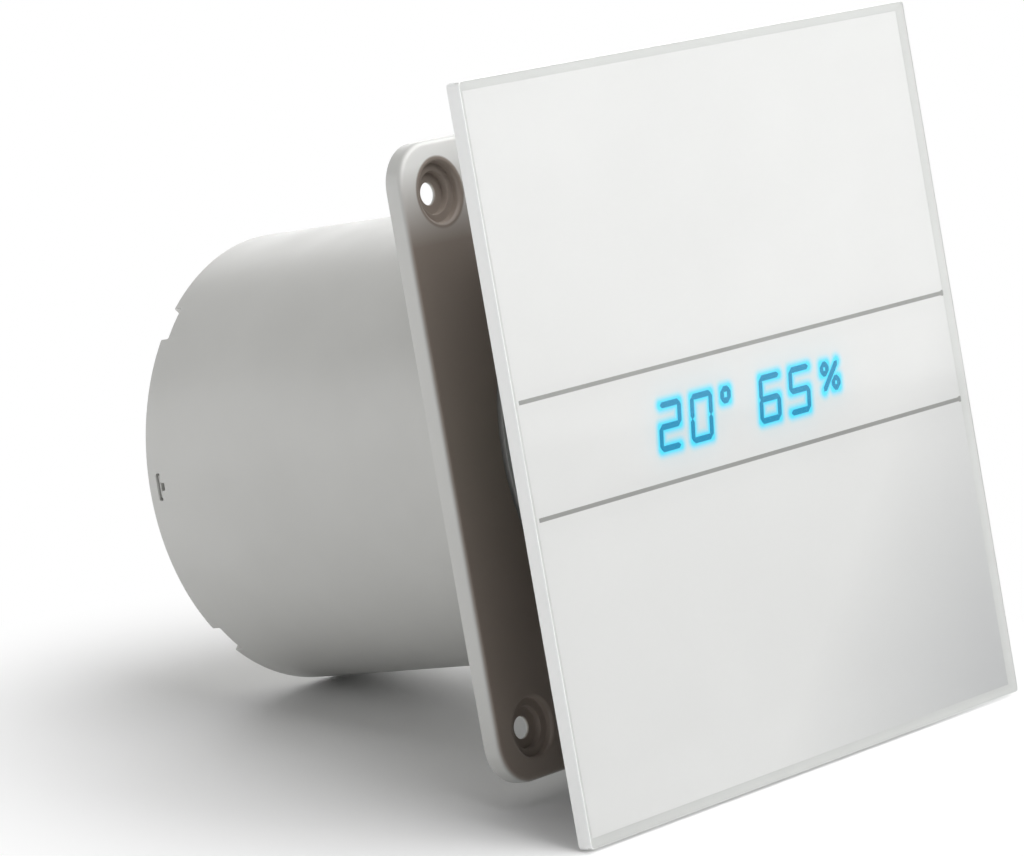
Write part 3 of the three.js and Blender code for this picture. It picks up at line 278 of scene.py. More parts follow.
class Nodes:
    """A short way to write the node tree of a material or a world."""

    def __init__(self, owner, output="ShaderNodeOutputMaterial"):
        self.owner = owner
        self.owner.use_nodes = True
        self.tree = self.owner.node_tree
        self.tree.nodes.clear()
        self.output = self.tree.nodes.new(output)

    def add(self, kind, inputs=None, **settings):
        node = self.tree.nodes.new(kind)
        for key, value in settings.items():
            setattr(node, key, value)
        for key, value in (inputs or {}).items():
            if isinstance(value, bpy.types.NodeSocket):
                self.tree.links.new(value, node.inputs[key])
            else:
                node.inputs[key].default_value = value
        return node

    def place(self):
        return self.add("ShaderNodeTexCoord").outputs["Object"]

    def noise(self, scale, detail=2.0, vector=None):
        inputs = {"Scale": scale, "Detail": detail, "Vector": vector or self.place()}
        return self.add("ShaderNodeTexNoise", inputs).outputs["Fac"]

    def spread(self, value, low, high, from_low=0.3, from_high=0.7):
        inputs = {"Value": value, "From Min": from_low, "From Max": from_high, "To Min": low, "To Max": high}
        return self.add("ShaderNodeMapRange", inputs).outputs["Result"]

    def mix(self, factor, first, second):
        node = self.add("ShaderNodeMix", data_type="RGBA")
        for socket, value in ((node.inputs[0], factor), (node.inputs[6], first), (node.inputs[7], second)):
            if isinstance(value, bpy.types.NodeSocket):
                self.tree.links.new(value, socket)
            else:
                socket.default_value = value
        return node.outputs[2]

    def maths(self, operation, *values):
        return self.add("ShaderNodeMath", dict(enumerate(values)), operation=operation).outputs["Value"]

    def vectors(self, operation, *values, output="Vector"):
        return self.add("ShaderNodeVectorMath", dict(enumerate(values)), operation=operation).outputs[output]

    def axes(self, vector):
        return self.add("ShaderNodeSeparateXYZ", {"Vector": vector}).outputs

    def bump(self, height, strength, millimetres):
        inputs = {"Height": height, "Strength": strength, "Distance": millimetres * MM}
        return self.add("ShaderNodeBump", inputs).outputs["Normal"]

    def blended(self, factor, first, second):
        """A shader between two others."""
        return self.add("ShaderNodeMixShader", {0: factor, 1: first, 2: second}).outputs["Shader"]

    def finish(self, shader):
        self.tree.links.new(shader, self.output.inputs["Surface"])
        return self.owner

    def principled(self, inputs):
        return self.finish(self.add("ShaderNodeBsdfPrincipled", inputs).outputs["BSDF"])


def material_nodes(name):
    return Nodes(bpy.data.materials.new(name))


def linear(red, green, blue):
    """An sRGB colour from 0 to 255 as a linear node colour."""
    channels = []
    for value in (red, green, blue):
        part = value / 255
        channels.append(part / 12.92 if part <= 0.04045 else ((part + 0.055) / 1.055) ** 2.4)
    return (*channels, 1.0)


def painted_base_shade(n, tone, colour):
    """Paints shade on the base's screw pockets and its flat front as a darker brown-grey colour, and paints
    light on the front, which turns pale towards its top.
    """
    # own is painted shade: the darker colour given to the front and the pockets, standing for the panel's
    # shadow.
    own = linear(*colour)
    place = n.axes(n.place())
    facing = n.axes(n.add("ShaderNodeTexCoord").outputs["Normal"])
    front = n.spread(facing["Y"], 1, 0, -0.95, -0.3)
    front = n.maths("MULTIPLY", front, n.spread(place["Y"], 1, 0, -3.75 * MM, -3.2 * MM))
    pocket_middle = (SCREW_X * MM, 0, SCREW_Z * MM)
    flat = n.vectors("MULTIPLY", n.vectors("ABSOLUTE", n.place()), (1, 0, 1))
    pocket = n.spread(n.vectors("DISTANCE", flat, pocket_middle, output="Value"), 1, 0, 7 * MM, 7.4 * MM)
    pocket = n.maths("MULTIPLY", pocket, n.spread(place["Y"], 1, 0, -0.8 * MM, -0.3 * MM))
    # Painted light: from 44 to 60 mm up, the painted shade gives way to a pale near-white highlight.
    low = n.spread(place["Z"], 1, 0, 44 * MM, 60 * MM)
    tone = n.mix(front, tone, n.mix(low, linear(252, 252, 249), own))
    return n.mix(pocket, tone, own)


def moulded(name, colour, roughness, grain=0.25, grain_height=0.02, shade=0.03, front=None):
    """Moulded plastic: a fine sparked grain, slow tone and gloss changes, and paler convex edges.

    shade is how far the tone varies, and front is the colour painted on the base's front as its shade.
    """
    n = material_nodes(name)
    pale = linear(*[min(255, c * (1 + shade)) for c in colour])
    deep = linear(*[c * (1 - shade) for c in colour])
    tone = n.mix(n.spread(n.noise(38, 3), 0, 1), deep, pale)
    edge = n.spread(n.add("ShaderNodeNewGeometry").outputs["Pointiness"], 0, 0.35, 0.53, 0.62)
    tone = n.mix(edge, tone, linear(*[min(255, c * 1.08) for c in colour]))
    # The base's front gets painted shade, with a painted pale highlight near its top.
    if front:
        tone = painted_base_shade(n, tone, front)
    gloss = n.spread(n.noise(90, 4), roughness - 0.05, roughness + 0.06)
    bump = n.bump(n.noise(1 / (grain * MM), 2), 0.35, grain_height)
    return n.principled({"Base Color": tone, "Roughness": gloss, "Normal": bump, "IOR": 1.5})


def clear_glass(name):
    """Thin clear glass, which mirrors more at a slant."""
    n = material_nodes(name)
    smear = n.spread(n.noise(30, 3), 0.03, 0.07)
    gloss = n.add("ShaderNodeBsdfGlossy", {"Roughness": smear}).outputs["BSDF"]
    through = n.add("ShaderNodeBsdfTransparent", {"Color": (0.985, 0.988, 0.987, 1)}).outputs["BSDF"]
    mirror = n.add("ShaderNodeFresnel", {"IOR": 1.5}).outputs["Fac"]
    return n.finish(n.blended(mirror, through, gloss))


def metal(name, colour, roughness, brushed=0.0):
    """Plain metal with fine turning or rolling marks and faint stains."""
    n = material_nodes(name)
    stain = n.spread(n.noise(160, 4), 0, 1)
    tone = n.mix(stain, linear(*[c * 0.93 for c in colour]), linear(*colour))
    gloss = n.spread(n.noise(420, 3), roughness - 0.06, roughness + 0.08)
    stretch = n.add("ShaderNodeMapping", {"Vector": n.place(), "Scale": (1, 1 + 14 * brushed, 1)})
    bump = n.bump(n.noise(2600, 2, vector=stretch.outputs["Vector"]), 0.25, 0.01)
    return n.principled({"Base Color": tone, "Metallic": 1.0, "Roughness": gloss, "Normal": bump})


def layered(name, colour, pitch, axis, metallic, roughness, depth=0.06):
    """Thin layers or wire turns, as ridges at a fixed pitch in millimetres along one axis."""
    n = material_nodes(name)
    wave_period = 0.314
    inputs = {"Vector": n.place(), "Scale": wave_period / (pitch * MM), "Distortion": 0.15}
    ridge = n.add("ShaderNodeTexWave", inputs, bands_direction=axis).outputs["Fac"]
    tone = n.mix(n.spread(ridge, 0, 1, 0.0, 0.6), linear(*[c * 0.55 for c in colour]), linear(*colour))
    gloss = n.spread(n.noise(300, 3), roughness - 0.05, roughness + 0.1)
    bump = n.bump(ridge, 0.8, depth)
    return n.principled({"Base Color": tone, "Metallic": metallic, "Roughness": gloss, "Normal": bump})


def circuit_board(name):
    """Green solder mask with paler copper tracks under it."""
    n = material_nodes(name)
    cells = n.add("ShaderNodeTexVoronoi", {"Vector": n.place(), "Scale": 420}, feature="DISTANCE_TO_EDGE")
    track = n.spread(cells.outputs["Distance"], 1, 0, 0.02, 0.08)
    mask = n.mix(n.spread(n.noise(200, 3), 0, 1), linear(18, 84, 52), linear(26, 100, 62))
    tone = n.mix(track, mask, linear(44, 132, 82))
    gloss = n.spread(n.noise(500, 3), 0.28, 0.4)
    return n.principled({"Base Color": tone, "Roughness": gloss, "Normal": n.bump(track, 0.5, 0.03)})


white_plastic = moulded("white_nylon_plastic", (224, 224, 218), 0.45)
dark_satin = moulded("dark_satin_sleeve", (40, 42, 46), 0.35, grain=0.4)
black_plastic = moulded("black_nylon_plastic", (30, 31, 33), 0.42)
terminal_plastic = moulded("green_terminal_plastic", (70, 142, 96), 0.42)
rubber = moulded("black_rubber", (38, 38, 40), 0.75, grain=0.5, grain_height=0.04)
lead_sheath = moulded("lead_sheath_vinyl", (216, 214, 206), 0.5, grain=0.6)
steel = metal("bright_steel", (196, 198, 200), 0.28, brushed=0.5)
screw_steel = metal("zinc_plated_steel", (186, 188, 190), 0.34)
zinc = metal("cast_zinc", (160, 163, 166), 0.48)
copper_bar = metal("copper_bar", (196, 124, 84), 0.35, brushed=0.5)
copper_winding = layered("enamelled_copper_wire", (190, 96, 48), 0.35, "X", 0.8, 0.3)
laminations = layered("laminated_core_steel", (120, 122, 126), 0.5, "Y", 0.9, 0.45, depth=0.04)
board_green = circuit_board("solder_mask_board")
shell = moulded("satin_shell_plastic", (205, 205, 202), 0.42, shade=0.012)
# The base's front is painted a darker brown-grey as shade, fading to a painted pale highlight near its top.
base_shell_painted_shade = moulded("satin_base_plastic_painted_shade", (205, 205, 202), 0.38, shade=0.012, front=(160, 148, 138))
dark = moulded("dark_carrier_plastic", (52, 53, 55), 0.5)
glass_face = clear_glass("clear_glass_face")
glass_edge = moulded("ground_glass_edge", (247, 248, 247), 0.45, grain=0.15, shade=0.01)
border_grey = moulded("border_grey", (220, 221, 219), 0.4, shade=0.01)
line_grey = moulded("line_grey", (158, 158, 155), 0.4)

# ---------- Housing: mounting base and duct spigot ----------

screw_places = [(side_x * SCREW_X, side_z * SCREW_Z) for side_x in (-1, 1) for side_z in (-1, 1)]
leg_places = [(side_x * LEG_X, side_z * LEG_Z) for side_x in (-1, 1) for side_z in (-1, 1)]
box_screw_heights = (-BOX_SCREW_Z, BOX_SCREW_Z)


def rounded_plate(size, corner, y_front, y_back, round_front, steps):
    """A square plate with round corners and a rounded front rim."""
    loops = []
    arc_steps = 8
    for step in range(arc_steps + 1):
        angle = math.pi / 2 * step / arc_steps
        inset = round_front * (1 - math.sin(angle))
        y = y_front + round_front * (1 - math.cos(angle))
        loops.append((rounded_square(size - 2 * inset, corner - inset, steps), y))
    loops.append((rounded_square(size, corner, steps), y_back))
    count = len(loops[0][0])
    vertices = [(x, y, z) for outline, y in loops for x, z in outline]
    faces = [tuple(range(count)), tuple(range(len(vertices) - 1, len(vertices) - count - 1, -1))]
    for k in range(len(loops) - 1):
        for i in range(count):
            j = (i + 1) % count
            faces.append((k * count + i, k * count + j, (k + 1) * count + j, (k + 1) * count + i))
    return solid(vertices, faces)


def screw_pocket(x, z):
    profile = [(0, -5), (6.9, -5), (6.55, -4.02), (6, -3.55), (6, -2.3), (4.25, -2.3), (4.25, -0.9)]
    profile += [(2.25, -0.9), (2.25, 1), (0, 1)]
    return turned(profile, 64, x, z)


def duct_passage():
    profile = [(0, -5), (DUCT_INNER + INLET_CHAMFER + 1, -5), (DUCT_INNER, BASE_FRONT + INLET_CHAMFER)]
    profile += [(DUCT_INNER, DUCT_END + 1), (0, DUCT_END + 1)]
    return turned(profile, DUCT_SIDES)


def rim_notch(degrees):
    half = NOTCH_WIDTH / 2
    notch = block(DUCT_INNER - 2, DUCT_OUTER + 2, DUCT_END - NOTCH_DEPTH, DUCT_END + 1, -half, half)
    return about_y(notch, degrees)


def catch_slot(side):
    x0, x1 = sorted((side * (DUCT_INNER - 2), side * (DUCT_OUTER + 2)))
    half = CATCH_HEIGHT / 2
    nub = 0.8
    slot = block(x0, x1, CATCH_FRONT, CATCH_BACK, CATCH_Z - half, CATCH_Z + half)
    return joined(slot, [block(x0, x1, CATCH_FRONT - 1, CATCH_FRONT + 0.1, CATCH_Z - nub, CATCH_Z + nub)])


def leg_collar(x, z):
    inner = LEG_WIDTH / 2 + 0.4
    outer = inner + 1.1
    wall = block(x - outer, x + outer, -11, BASE_FRONT + 1, z - outer, z + outer)
    return cut(wall, [block(x - inner, x + inner, -12, BASE_FRONT, z - inner, z + inner)])


def housing():
    body = rounded_plate(BASE_SIZE, BASE_CORNER, BASE_FRONT, 0, 1.0, 16)
    body = joined(body, [bar_y(DUCT_OUTER, BASE_FRONT / 2, DUCT_END, DUCT_SIDES)])
    cuts = [duct_passage()]
    cuts += [screw_pocket(x, z) for x, z in screw_places]
    cuts += [rim_notch(angle) for angle in NOTCH_ANGLES]
    cuts += [catch_slot(side) for side in (-1, 1)]
    body = cut(body, cuts)
    post_radius = 3
    pilot_radius = 1.25
    lead_half = 1.8
    adds = [leg_collar(x, z) for x, z in leg_places]
    adds += [bar_y(post_radius, BOARD_BACK + 0.1, BASE_FRONT + 1, 40, BOARD_X, z) for z in box_screw_heights]
    body = joined(body, adds)
    holes = [bar_y(pilot_radius, BOARD_BACK - 1, -1, 24, BOARD_X, z) for z in box_screw_heights]
    holes.append(bar_y(CABLE_HOLE_RADIUS, BASE_FRONT - 1, 1, 48, BOARD_X, CABLE_Z))
    holes.append(block(DUCT_INNER - 2, BOX_LEFT + 3, BASE_FRONT - 1, -0.9, -lead_half, lead_half))
    return cut(body, holes)


finished(housing(), "housing_shell", "casing", [base_shell_painted_shade], ["housing"], edge=0.25)

# ---------- Glass front ----------

ENAMEL_HALF = 73.1
ENAMEL_Y = -30.8
LINE_Z = 11.5
BAND_Z = 0.8
SLANT = 0.2
STROKE_HALF = 0.58
LINE_LEFT = -72.4
LINE_RIGHT = 73
LINE_HALF = 0.42

pane = extruded(rounded_square(GLASS_SIZE, 1.0, 6), GLASS_FRONT, GLASS_BACK)
glass = [glass_face, glass_edge]
finished(pane, "glass_pane", "front_panel", glass, ["glass_panel"], edge=0.12)
for face in pane.data.polygons:
    face.material_index = 0 if face.normal.y < -0.98 else 1

GLOW_STEP = 0.25
GLOW_HALF_X = 37
GLOW_HALF_Z = 8.5


def strokes():
    """The lit figures as (x0, z0, x1, z1) strokes, in millimetres."""
    segments = {
        "a": (0, 1, 1, 1),
        "b": (1, 1, 1, 0.5),
        "c": (1, 0.5, 1, 0),
        "d": (0, 0, 1, 0),
        "e": (0, 0.5, 0, 0),
        "f": (0, 1, 0, 0.5),
        "g": (0, 0.5, 1, 0.5),
    }
    top = 3.9
    bottom = -4.7
    width = 6.2
    figures = [(-30.2, "abged"), (-19.7, "abcdef"), (3.7, "acdefg"), (14.1, "acdfg")]
    lines = []
    for left, lit in figures:
        for key in lit:
            x0, z0, x1, z1 = segments[key]
            height = top - bottom
            lines.append((left + width * x0, bottom + height * z0, left + width * x1, bottom + height * z1))
    lines += square_ring(-9.5, 1.5, 2.3)
    lines += square_ring(25.2, 1.4, 1.9)
    lines += square_ring(29.2, -1.9, 1.9)
    lines.append((25.9, -2.1, 30.6, 3.4))
    return [(x0 + SLANT * z0, z0 + BAND_Z, x1 + SLANT * z1, z1 + BAND_Z) for x0, z0, x1, z1 in lines]


def square_ring(left, bottom, size):
    """The small square ring of the degree sign and the percent sign."""
    right = left + size
    top = bottom + size
    corners = [(left, bottom), (right, bottom), (right, top), (left, top)]
    return [(*corners[i], *corners[(i + 1) % 4]) for i in range(4)]


def enamel():
    """The white backing: a sheet whose vertices know how far the nearest lit stroke is."""
    steps_x = int(2 * GLOW_HALF_X / GLOW_STEP)
    steps_z = int(2 * GLOW_HALF_Z / GLOW_STEP)
    xs = [-ENAMEL_HALF] + [-GLOW_HALF_X + GLOW_STEP * i for i in range(steps_x + 1)] + [ENAMEL_HALF]
    zs = [BAND_Z - GLOW_HALF_Z + GLOW_STEP * i for i in range(steps_z + 1)]
    zs = [-ENAMEL_HALF] + zs + [ENAMEL_HALF]
    vertices = [(x * MM, ENAMEL_Y * MM, z * MM) for z in zs for x in xs]
    faces = []
    for row in range(len(zs) - 1):
        for column in range(len(xs) - 1):
            first = row * len(xs) + column
            faces.append((first, first + 1, first + len(xs) + 1, first + len(xs)))
    mesh = bpy.data.meshes.new("white_backing")
    mesh.from_pydata(vertices, [], faces)
    glow = mesh.attributes.new("glow", "FLOAT", "POINT")
    lines = strokes()
    for index, (x, _, z) in enumerate(vertices):
        x /= MM
        z /= MM
        total = 0
        if abs(x) < GLOW_HALF_X and abs(z - BAND_Z) < GLOW_HALF_Z:
            for x0, z0, x1, z1 in lines:
                length = (x1 - x0) ** 2 + (z1 - z0) ** 2
                along = max(0, min(1, ((x - x0) * (x1 - x0) + (z - z0) * (z1 - z0)) / length))
                away = math.hypot(x - x0 - along * (x1 - x0), z - z0 - along * (z1 - z0))
                total = max(total, math.exp(-((max(0, away - STROKE_HALF) / 0.9) ** 2)))
        glow.data[index].value = total
    obj = bpy.data.objects.new("white_backing", mesh)
    bpy.context.scene.collection.objects.link(obj)
    return obj


def enamel_material():
    n = material_nodes("white_enamel")
    tone = n.mix(n.spread(n.noise(20, 2), 0, 1), linear(237, 237, 236), linear(240, 240, 239))
    place = n.axes(n.place())
    # Painted shade: the white enamel turns grey towards the lower right corner.
    corner_painted_shade = n.maths("SUBTRACT", place["X"], place["Z"])
    tone = n.mix(n.spread(corner_painted_shade, 0, 0.8, 60 * MM, 146 * MM), tone, linear(196, 197, 198))
    glow = n.add("ShaderNodeAttribute", attribute_name="glow").outputs["Fac"]
    inputs = {
        "Base Color": n.mix(glow, tone, linear(60, 190, 215)),
        "Roughness": n.spread(n.noise(60, 3), 0.45, 0.55),
        "Emission Color": (0.04, 0.8, 1, 1),
        "Emission Strength": n.spread(glow, 0, 0.42, 0, 1),
    }
    return n.principled(inputs)


backing = enamel()
backing.data.materials.append(enamel_material())
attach(backing, "front_panel")


def figure_material():
    n = material_nodes("lit_figures")
    inputs = {
        "Base Color": n.mix(n.spread(n.noise(900, 2), 0, 1), linear(0, 62, 84), linear(0, 76, 102)),
        "Roughness": n.spread(n.noise(300, 2), 0.35, 0.45),
        "Emission Color": linear(0, 132, 172),
        "Emission Strength": 1.0,
        "Specular IOR Level": 0.05,
    }
    return n.principled(inputs)


def figures():
    """Each lit stroke is a flat bar that ends in a point, as on a segment display."""
    half = STROKE_HALF
    front = ENAMEL_Y - 0.06
    back = ENAMEL_Y - 0.01
    vertices = []
    faces = []
    for x0, z0, x1, z1 in strokes():
        along = Vector((x1 - x0, 0, z1 - z0)).normalized()
        across = Vector((-along.z, 0, along.x))
        start = Vector((x0, 0, z0))
        end = Vector((x1, 0, z1))
        inward = along * half
        aside = across * half
        outline = [start - along * 0.1, start + inward + aside, end - inward + aside]
        outline += [end + along * 0.1, end - inward - aside, start + inward - aside]
        first = len(vertices)
        count = len(outline)
        vertices += [(point.x, front, point.z) for point in outline]
        vertices += [(point.x, back, point.z) for point in outline]
        faces.append(tuple(first + i for i in range(count)))
        faces.append(tuple(first + 2 * count - 1 - i for i in range(count)))
        for i in range(count):
            j = (i + 1) % count
            faces.append((first + i, first + j, first + count + j, first + count + i))
    return solid(vertices, faces)


lit = figure_material()
finished(figures(), "display_figures", "front_panel", [lit], edge=0)


def glass_border():
    """The clear rim round the enamel: a frame that slopes from the enamel out to the front face."""
    overlap = 0.8
    outer = GLASS_SIZE / 2 - 0.16
    rings = [(ENAMEL_HALF - overlap, ENAMEL_Y + 0.1), (ENAMEL_HALF, ENAMEL_Y + 0.02)]
    rings += [(outer, GLASS_FRONT + 0.06), (outer, ENAMEL_Y + 0.1)]
    vertices = [(x * half, y, z * half) for half, y in rings for x, z in ((-1, -1), (1, -1), (1, 1), (-1, 1))]
    faces = []
    for k in range(len(rings)):
        low = 4 * k
        high = 4 * ((k + 1) % len(rings))
        for i in range(4):
            j = (i + 1) % 4
            faces.append((low + i, low + j, high + j, high + i))
    return solid(vertices, faces)


finished(glass_border(), "glass_border", "front_panel", [border_grey], edge=0)

for label, side in (("upper", 1), ("lower", -1)):
    z = side * LINE_Z + BAND_Z
    strip = block(LINE_LEFT, LINE_RIGHT, ENAMEL_Y - 0.05, ENAMEL_Y - 0.01, z - LINE_HALF, z + LINE_HALF)
    end_dot = bar_y(0.65, ENAMEL_Y - 0.06, ENAMEL_Y - 0.01, 24, 72.8, z)
    strip = joined(strip, [end_dot])
    finished(strip, f"band_line_{label}", "front_panel", [line_grey], edge=0)

# ---------- Inlet guard, motor carrier and motor cap ----------

CUP_OUTER = 25
CUP_INNER = 23.4
CUP_FRONT = -9
CUP_BACK = 27.6
CUP_VENT_RADIUS = 6
RING_OUTER = DUCT_INNER - GAP
RING_INNER = 44.9
RING_FRONT = 0.5
RING_BACK = 11
ARM_FRONT = -1.2
ARM_BACK = 10
CAP_THICKNESS = 1.6
CAP_BACK = CUP_FRONT - GAP
CAP_FRONT = CAP_BACK - CAP_THICKNESS
CAP_SCREW_CIRCLE = 21.2
CAP_SCREW_ANGLES = (90, 210, 330)
CORE_FRONT = 2
CORE_BACK = 16
GUARD_FRONT = -3.7
GUARD_BACK = -1.7

cap_screw_places = [
    (CAP_SCREW_CIRCLE * math.cos(math.radians(angle)), CAP_SCREW_CIRCLE * math.sin(math.radians(angle)))
    for angle in CAP_SCREW_ANGLES
]
post_places = [(side * 10.8, z) for side in (-1, 1) for z in (9.5, -16.5)]


def inlet_guard():
    ring_width = 1.4
    spoke_half = 0.8
    spokes = 8
    hoop_inner = CUP_OUTER + 0.6
    hoop_outer = DUCT_INNER - GAP
    radii = (30.6, 35.2, 39.8, hoop_outer - ring_width)
    guard = ring_y(hoop_inner, hoop_inner + ring_width, GUARD_FRONT, GUARD_BACK, 128)
    parts = [ring_y(radius, radius + ring_width, GUARD_FRONT, GUARD_BACK, 128) for radius in radii]
    for i in range(spokes):
        left = hoop_inner + 0.5
        right = hoop_outer - 0.5
        spoke = block(left, right, GUARD_FRONT + 0.4, GUARD_BACK, -spoke_half, spoke_half)
        parts.append(about_y(spoke, 360 / spokes * (i + 0.5)))
    guard = joined(guard, parts)
    return cut(guard, [block(RING_INNER - 3, DUCT_INNER, GUARD_FRONT - 1, GUARD_BACK + 1, -1.7, 1.7)])


finished(inlet_guard(), "inlet_guard_bars", "casing", [shell], ["inlet_guard"])


def core_post(x, z, y0, y1):
    return block(x - 1.5, x + 1.5, y0, y1, z - 1.5, z + 1.5)


def quarter_arc(radius, middle_radius, middle_y, from_degrees, to_degrees, steps=6):
    """Points of a rounded corner in a turned profile."""
    points = []
    for i in range(steps + 1):
        angle = math.radians(from_degrees + (to_degrees - from_degrees) * i / steps)
        points.append((middle_radius + radius * math.cos(angle), middle_y + radius * math.sin(angle)))
    return points


def motor_carrier():
    cup_floor = CUP_BACK - 1.6
    boss_back = 5
    profile = [(CUP_VENT_RADIUS, cup_floor), (CUP_INNER, cup_floor)]
    profile += [(CUP_INNER, CUP_FRONT), (CUP_OUTER, CUP_FRONT)]
    profile += quarter_arc(2, CUP_OUTER - 2, CUP_BACK - 2, 0, 90)
    profile.append((CUP_VENT_RADIUS, CUP_BACK))
    cup = turned(profile, 128)
    parts = [ring_y(RING_INNER, RING_OUTER, RING_FRONT, RING_BACK, DUCT_SIDES)]
    for x, z in cap_screw_places:
        boss = bar_y(2.6, CUP_FRONT, boss_back, 32, x, z)
        room = bar_y(CUP_OUTER - 0.2, CUP_FRONT - 1, boss_back + 1, 128)
        parts.append(combined(boss, "INTERSECT", [room]))
    parts += [core_post(x, z, CORE_BACK + GAP, cup_floor + 0.5) for x, z in post_places]
    for degrees, width in ((0, 5.2), (90, 3.2), (180, 3.2), (270, 3.2)):
        arm = block(CUP_OUTER - 0.5, RING_INNER + 0.5, ARM_FRONT, ARM_BACK, -width / 2, width / 2)
        parts.append(about_y(arm, degrees))
    cup = joined(cup, parts)
    holes = [bar_y(1.15, CUP_FRONT - 1, boss_back - 1, 24, x, z) for x, z in cap_screw_places]
    holes.append(block(CUP_INNER - 1, RING_OUTER + 1, ARM_FRONT - 1, 0.6, -1.5, 1.5))
    return cut(cup, holes)


carrier = motor_carrier()
finished(carrier, "motor_carrier_shell", "casing", [shell], ["motor_carrier"], edge=0.25)


def motor_cap():
    profile = [(0, CAP_FRONT), (CUP_OUTER - 1.2, CAP_FRONT)]
    profile += quarter_arc(1.2, CUP_OUTER - 1.2, CAP_FRONT + 1.2, -90, 0)[1:]
    profile += [(CUP_OUTER, CAP_BACK), (0, CAP_BACK)]
    cap = turned(profile, 128)
    cap = joined(cap, [ring_y(CUP_INNER - 1.6, CUP_INNER - 0.4, CAP_BACK - 0.5, CAP_BACK + 1.7, 128)])
    holes = [bar_y(3.1, CAP_BACK, CAP_BACK + 3, 32, x, z) for x, z in cap_screw_places]
    holes += [bar_y(1.35, CAP_FRONT - 1, CAP_BACK + 1, 24, x, z) for x, z in cap_screw_places]
    cap = cut(cap, holes)
    return joined(cap, [core_post(x, z, CAP_BACK - 0.5, CORE_FRONT - GAP) for x, z in post_places])


finished(motor_cap(), "motor_cap_cover", "casing", [shell], ["motor_cap"], edge=0.2)

# ---------- Screws ----------


def pan_head_screw(x, z, head_y, head_radius, head_height, shank_radius, tip_y, forward=1):
    """A cross-recessed screw along Y. forward is 1 for a tip towards +Y and -1 for one towards -Y."""
    crown = []
    steps = 8
    for i in range(steps + 1):
        angle = math.pi / 2 * i / steps
        crown.append((head_radius * math.sin(angle), head_height * 0.8 * (1 - math.cos(angle))))
    length = abs(tip_y - head_y)
    profile = crown + [(head_radius, head_height), (shank_radius, head_height)]
    profile += [(shank_radius, length - shank_radius), (shank_radius * 0.4, length), (0, length)]
    body = turned(profile, 40)
    arm = head_radius * 0.55
    half = head_radius * 0.13
    floor = head_height * 0.75
    body = cut(body, [block(-arm, arm, -1, floor, -half, half), block(-half, half, -1, floor, -arm, arm)])
    if forward < 0:
        body.data.transform(Matrix.Rotation(math.pi, 4, "Z"))
    body.data.transform(Matrix.Rotation(0.6, 4, "Y"))
    body.data.transform(Matrix.Translation((x, head_y, z)))
    return body


def fitted_screw(screw, name, body):
    finished(screw, f"{name}_pan", body, [screw_steel], [name], edge=0.06)


for i, (x, z) in enumerate(cap_screw_places):
    fitted_screw(pan_head_screw(x, z, CAP_FRONT - 1.4, 2.2, 1.2, 1.05, 3), f"cap_screw_{i + 1}", "casing")
for i, z in enumerate(box_screw_heights):
    screw = pan_head_screw(BOARD_X, z, BOX_FRONT - 1.6, 2.4, 1.3, 1.05, -2)
    fitted_screw(screw, f"cover_screw_{i + 1}", "casing")
for i, x in enumerate(DISPLAY_SCREW_X):
    screw = pan_head_screw(x, 0, -23.2, 1.9, 1.1, 0.9, -27.2, forward=-1)
    fitted_screw(screw, f"display_screw_{i + 1}", "front_panel")

# ---------- Impeller ----------

HUB_RADIUS = 20
HUB_WALL = 1.6
HUB_FRONT = 31
HUB_BACK = 53
TIP_RADIUS = 44.6
BLADES = 7
BLADE_MIDDLE = 42.5
BLADE_THICKNESS = 1.5
SHAFT_BORE = 1.56


def mixed(low, high, share):
    return low + (high - low) * share


def blade():
    """One blade, which twists and widens from root to tip, with rounded edges."""
    span_steps = 24
    chord_steps = 18
    camber = 1.8
    loops = []
    for i in range(span_steps + 1):
        along = i / span_steps
        radius = mixed(HUB_RADIUS - 0.8, TIP_RADIUS, along)
        pitch = math.radians(mixed(46, 26, along))
        chord = mixed(19, 26, along)
        top = []
        under = []
        for k in range(chord_steps + 1):
            across = -0.5 + k / chord_steps
            half = BLADE_THICKNESS / 2 * max(0, 1 - abs(2 * across) ** 8) ** 0.5
            for side, points in ((1, top), (-1, under)):
                lift = side * half + camber * (1 - 4 * across * across)
                arc = chord * across * math.cos(pitch) - lift * math.sin(pitch)
                depth = chord * across * math.sin(pitch) + lift * math.cos(pitch)
                angle = arc / radius + math.radians(12) * along
                points.append((radius * math.cos(angle), BLADE_MIDDLE + depth, radius * math.sin(angle)))
        loops.append(top + under[-2:0:-1])
    count = len(loops[0])
    vertices = [point for loop in loops for point in loop]
    faces = [tuple(range(count)), tuple(range(len(vertices) - 1, len(vertices) - count - 1, -1))]
    for i in range(span_steps):
        for k in range(count):
            j = (k + 1) % count
            faces.append((i * count + k, i * count + j, (i + 1) * count + j, (i + 1) * count + k))
    return solid(vertices, faces)


def impeller():
    hub_inner = HUB_RADIUS - HUB_WALL
    hub_floor = HUB_BACK - HUB_WALL
    profile = [(SHAFT_BORE, 40), (4.6, 40), (4.6, hub_floor)]
    profile += quarter_arc(1.5, hub_inner - 1.5, hub_floor - 1.5, 90, 0)
    profile += [(hub_inner, HUB_FRONT), (HUB_RADIUS, HUB_FRONT)]
    profile += quarter_arc(3, HUB_RADIUS - 3, HUB_BACK - 3, 0, 90)
    profile.append((SHAFT_BORE, HUB_BACK))
    hub = turned(profile, 128)
    blades = [about_y(blade(), 360 / BLADES * i) for i in range(BLADES)]
    return joined(hub, blades)


finished(impeller(), "impeller_wheel", "impeller", [white_plastic], ["impeller"], edge=0.2)

# ---------- Electronics cover and the parts beside the inlet ----------


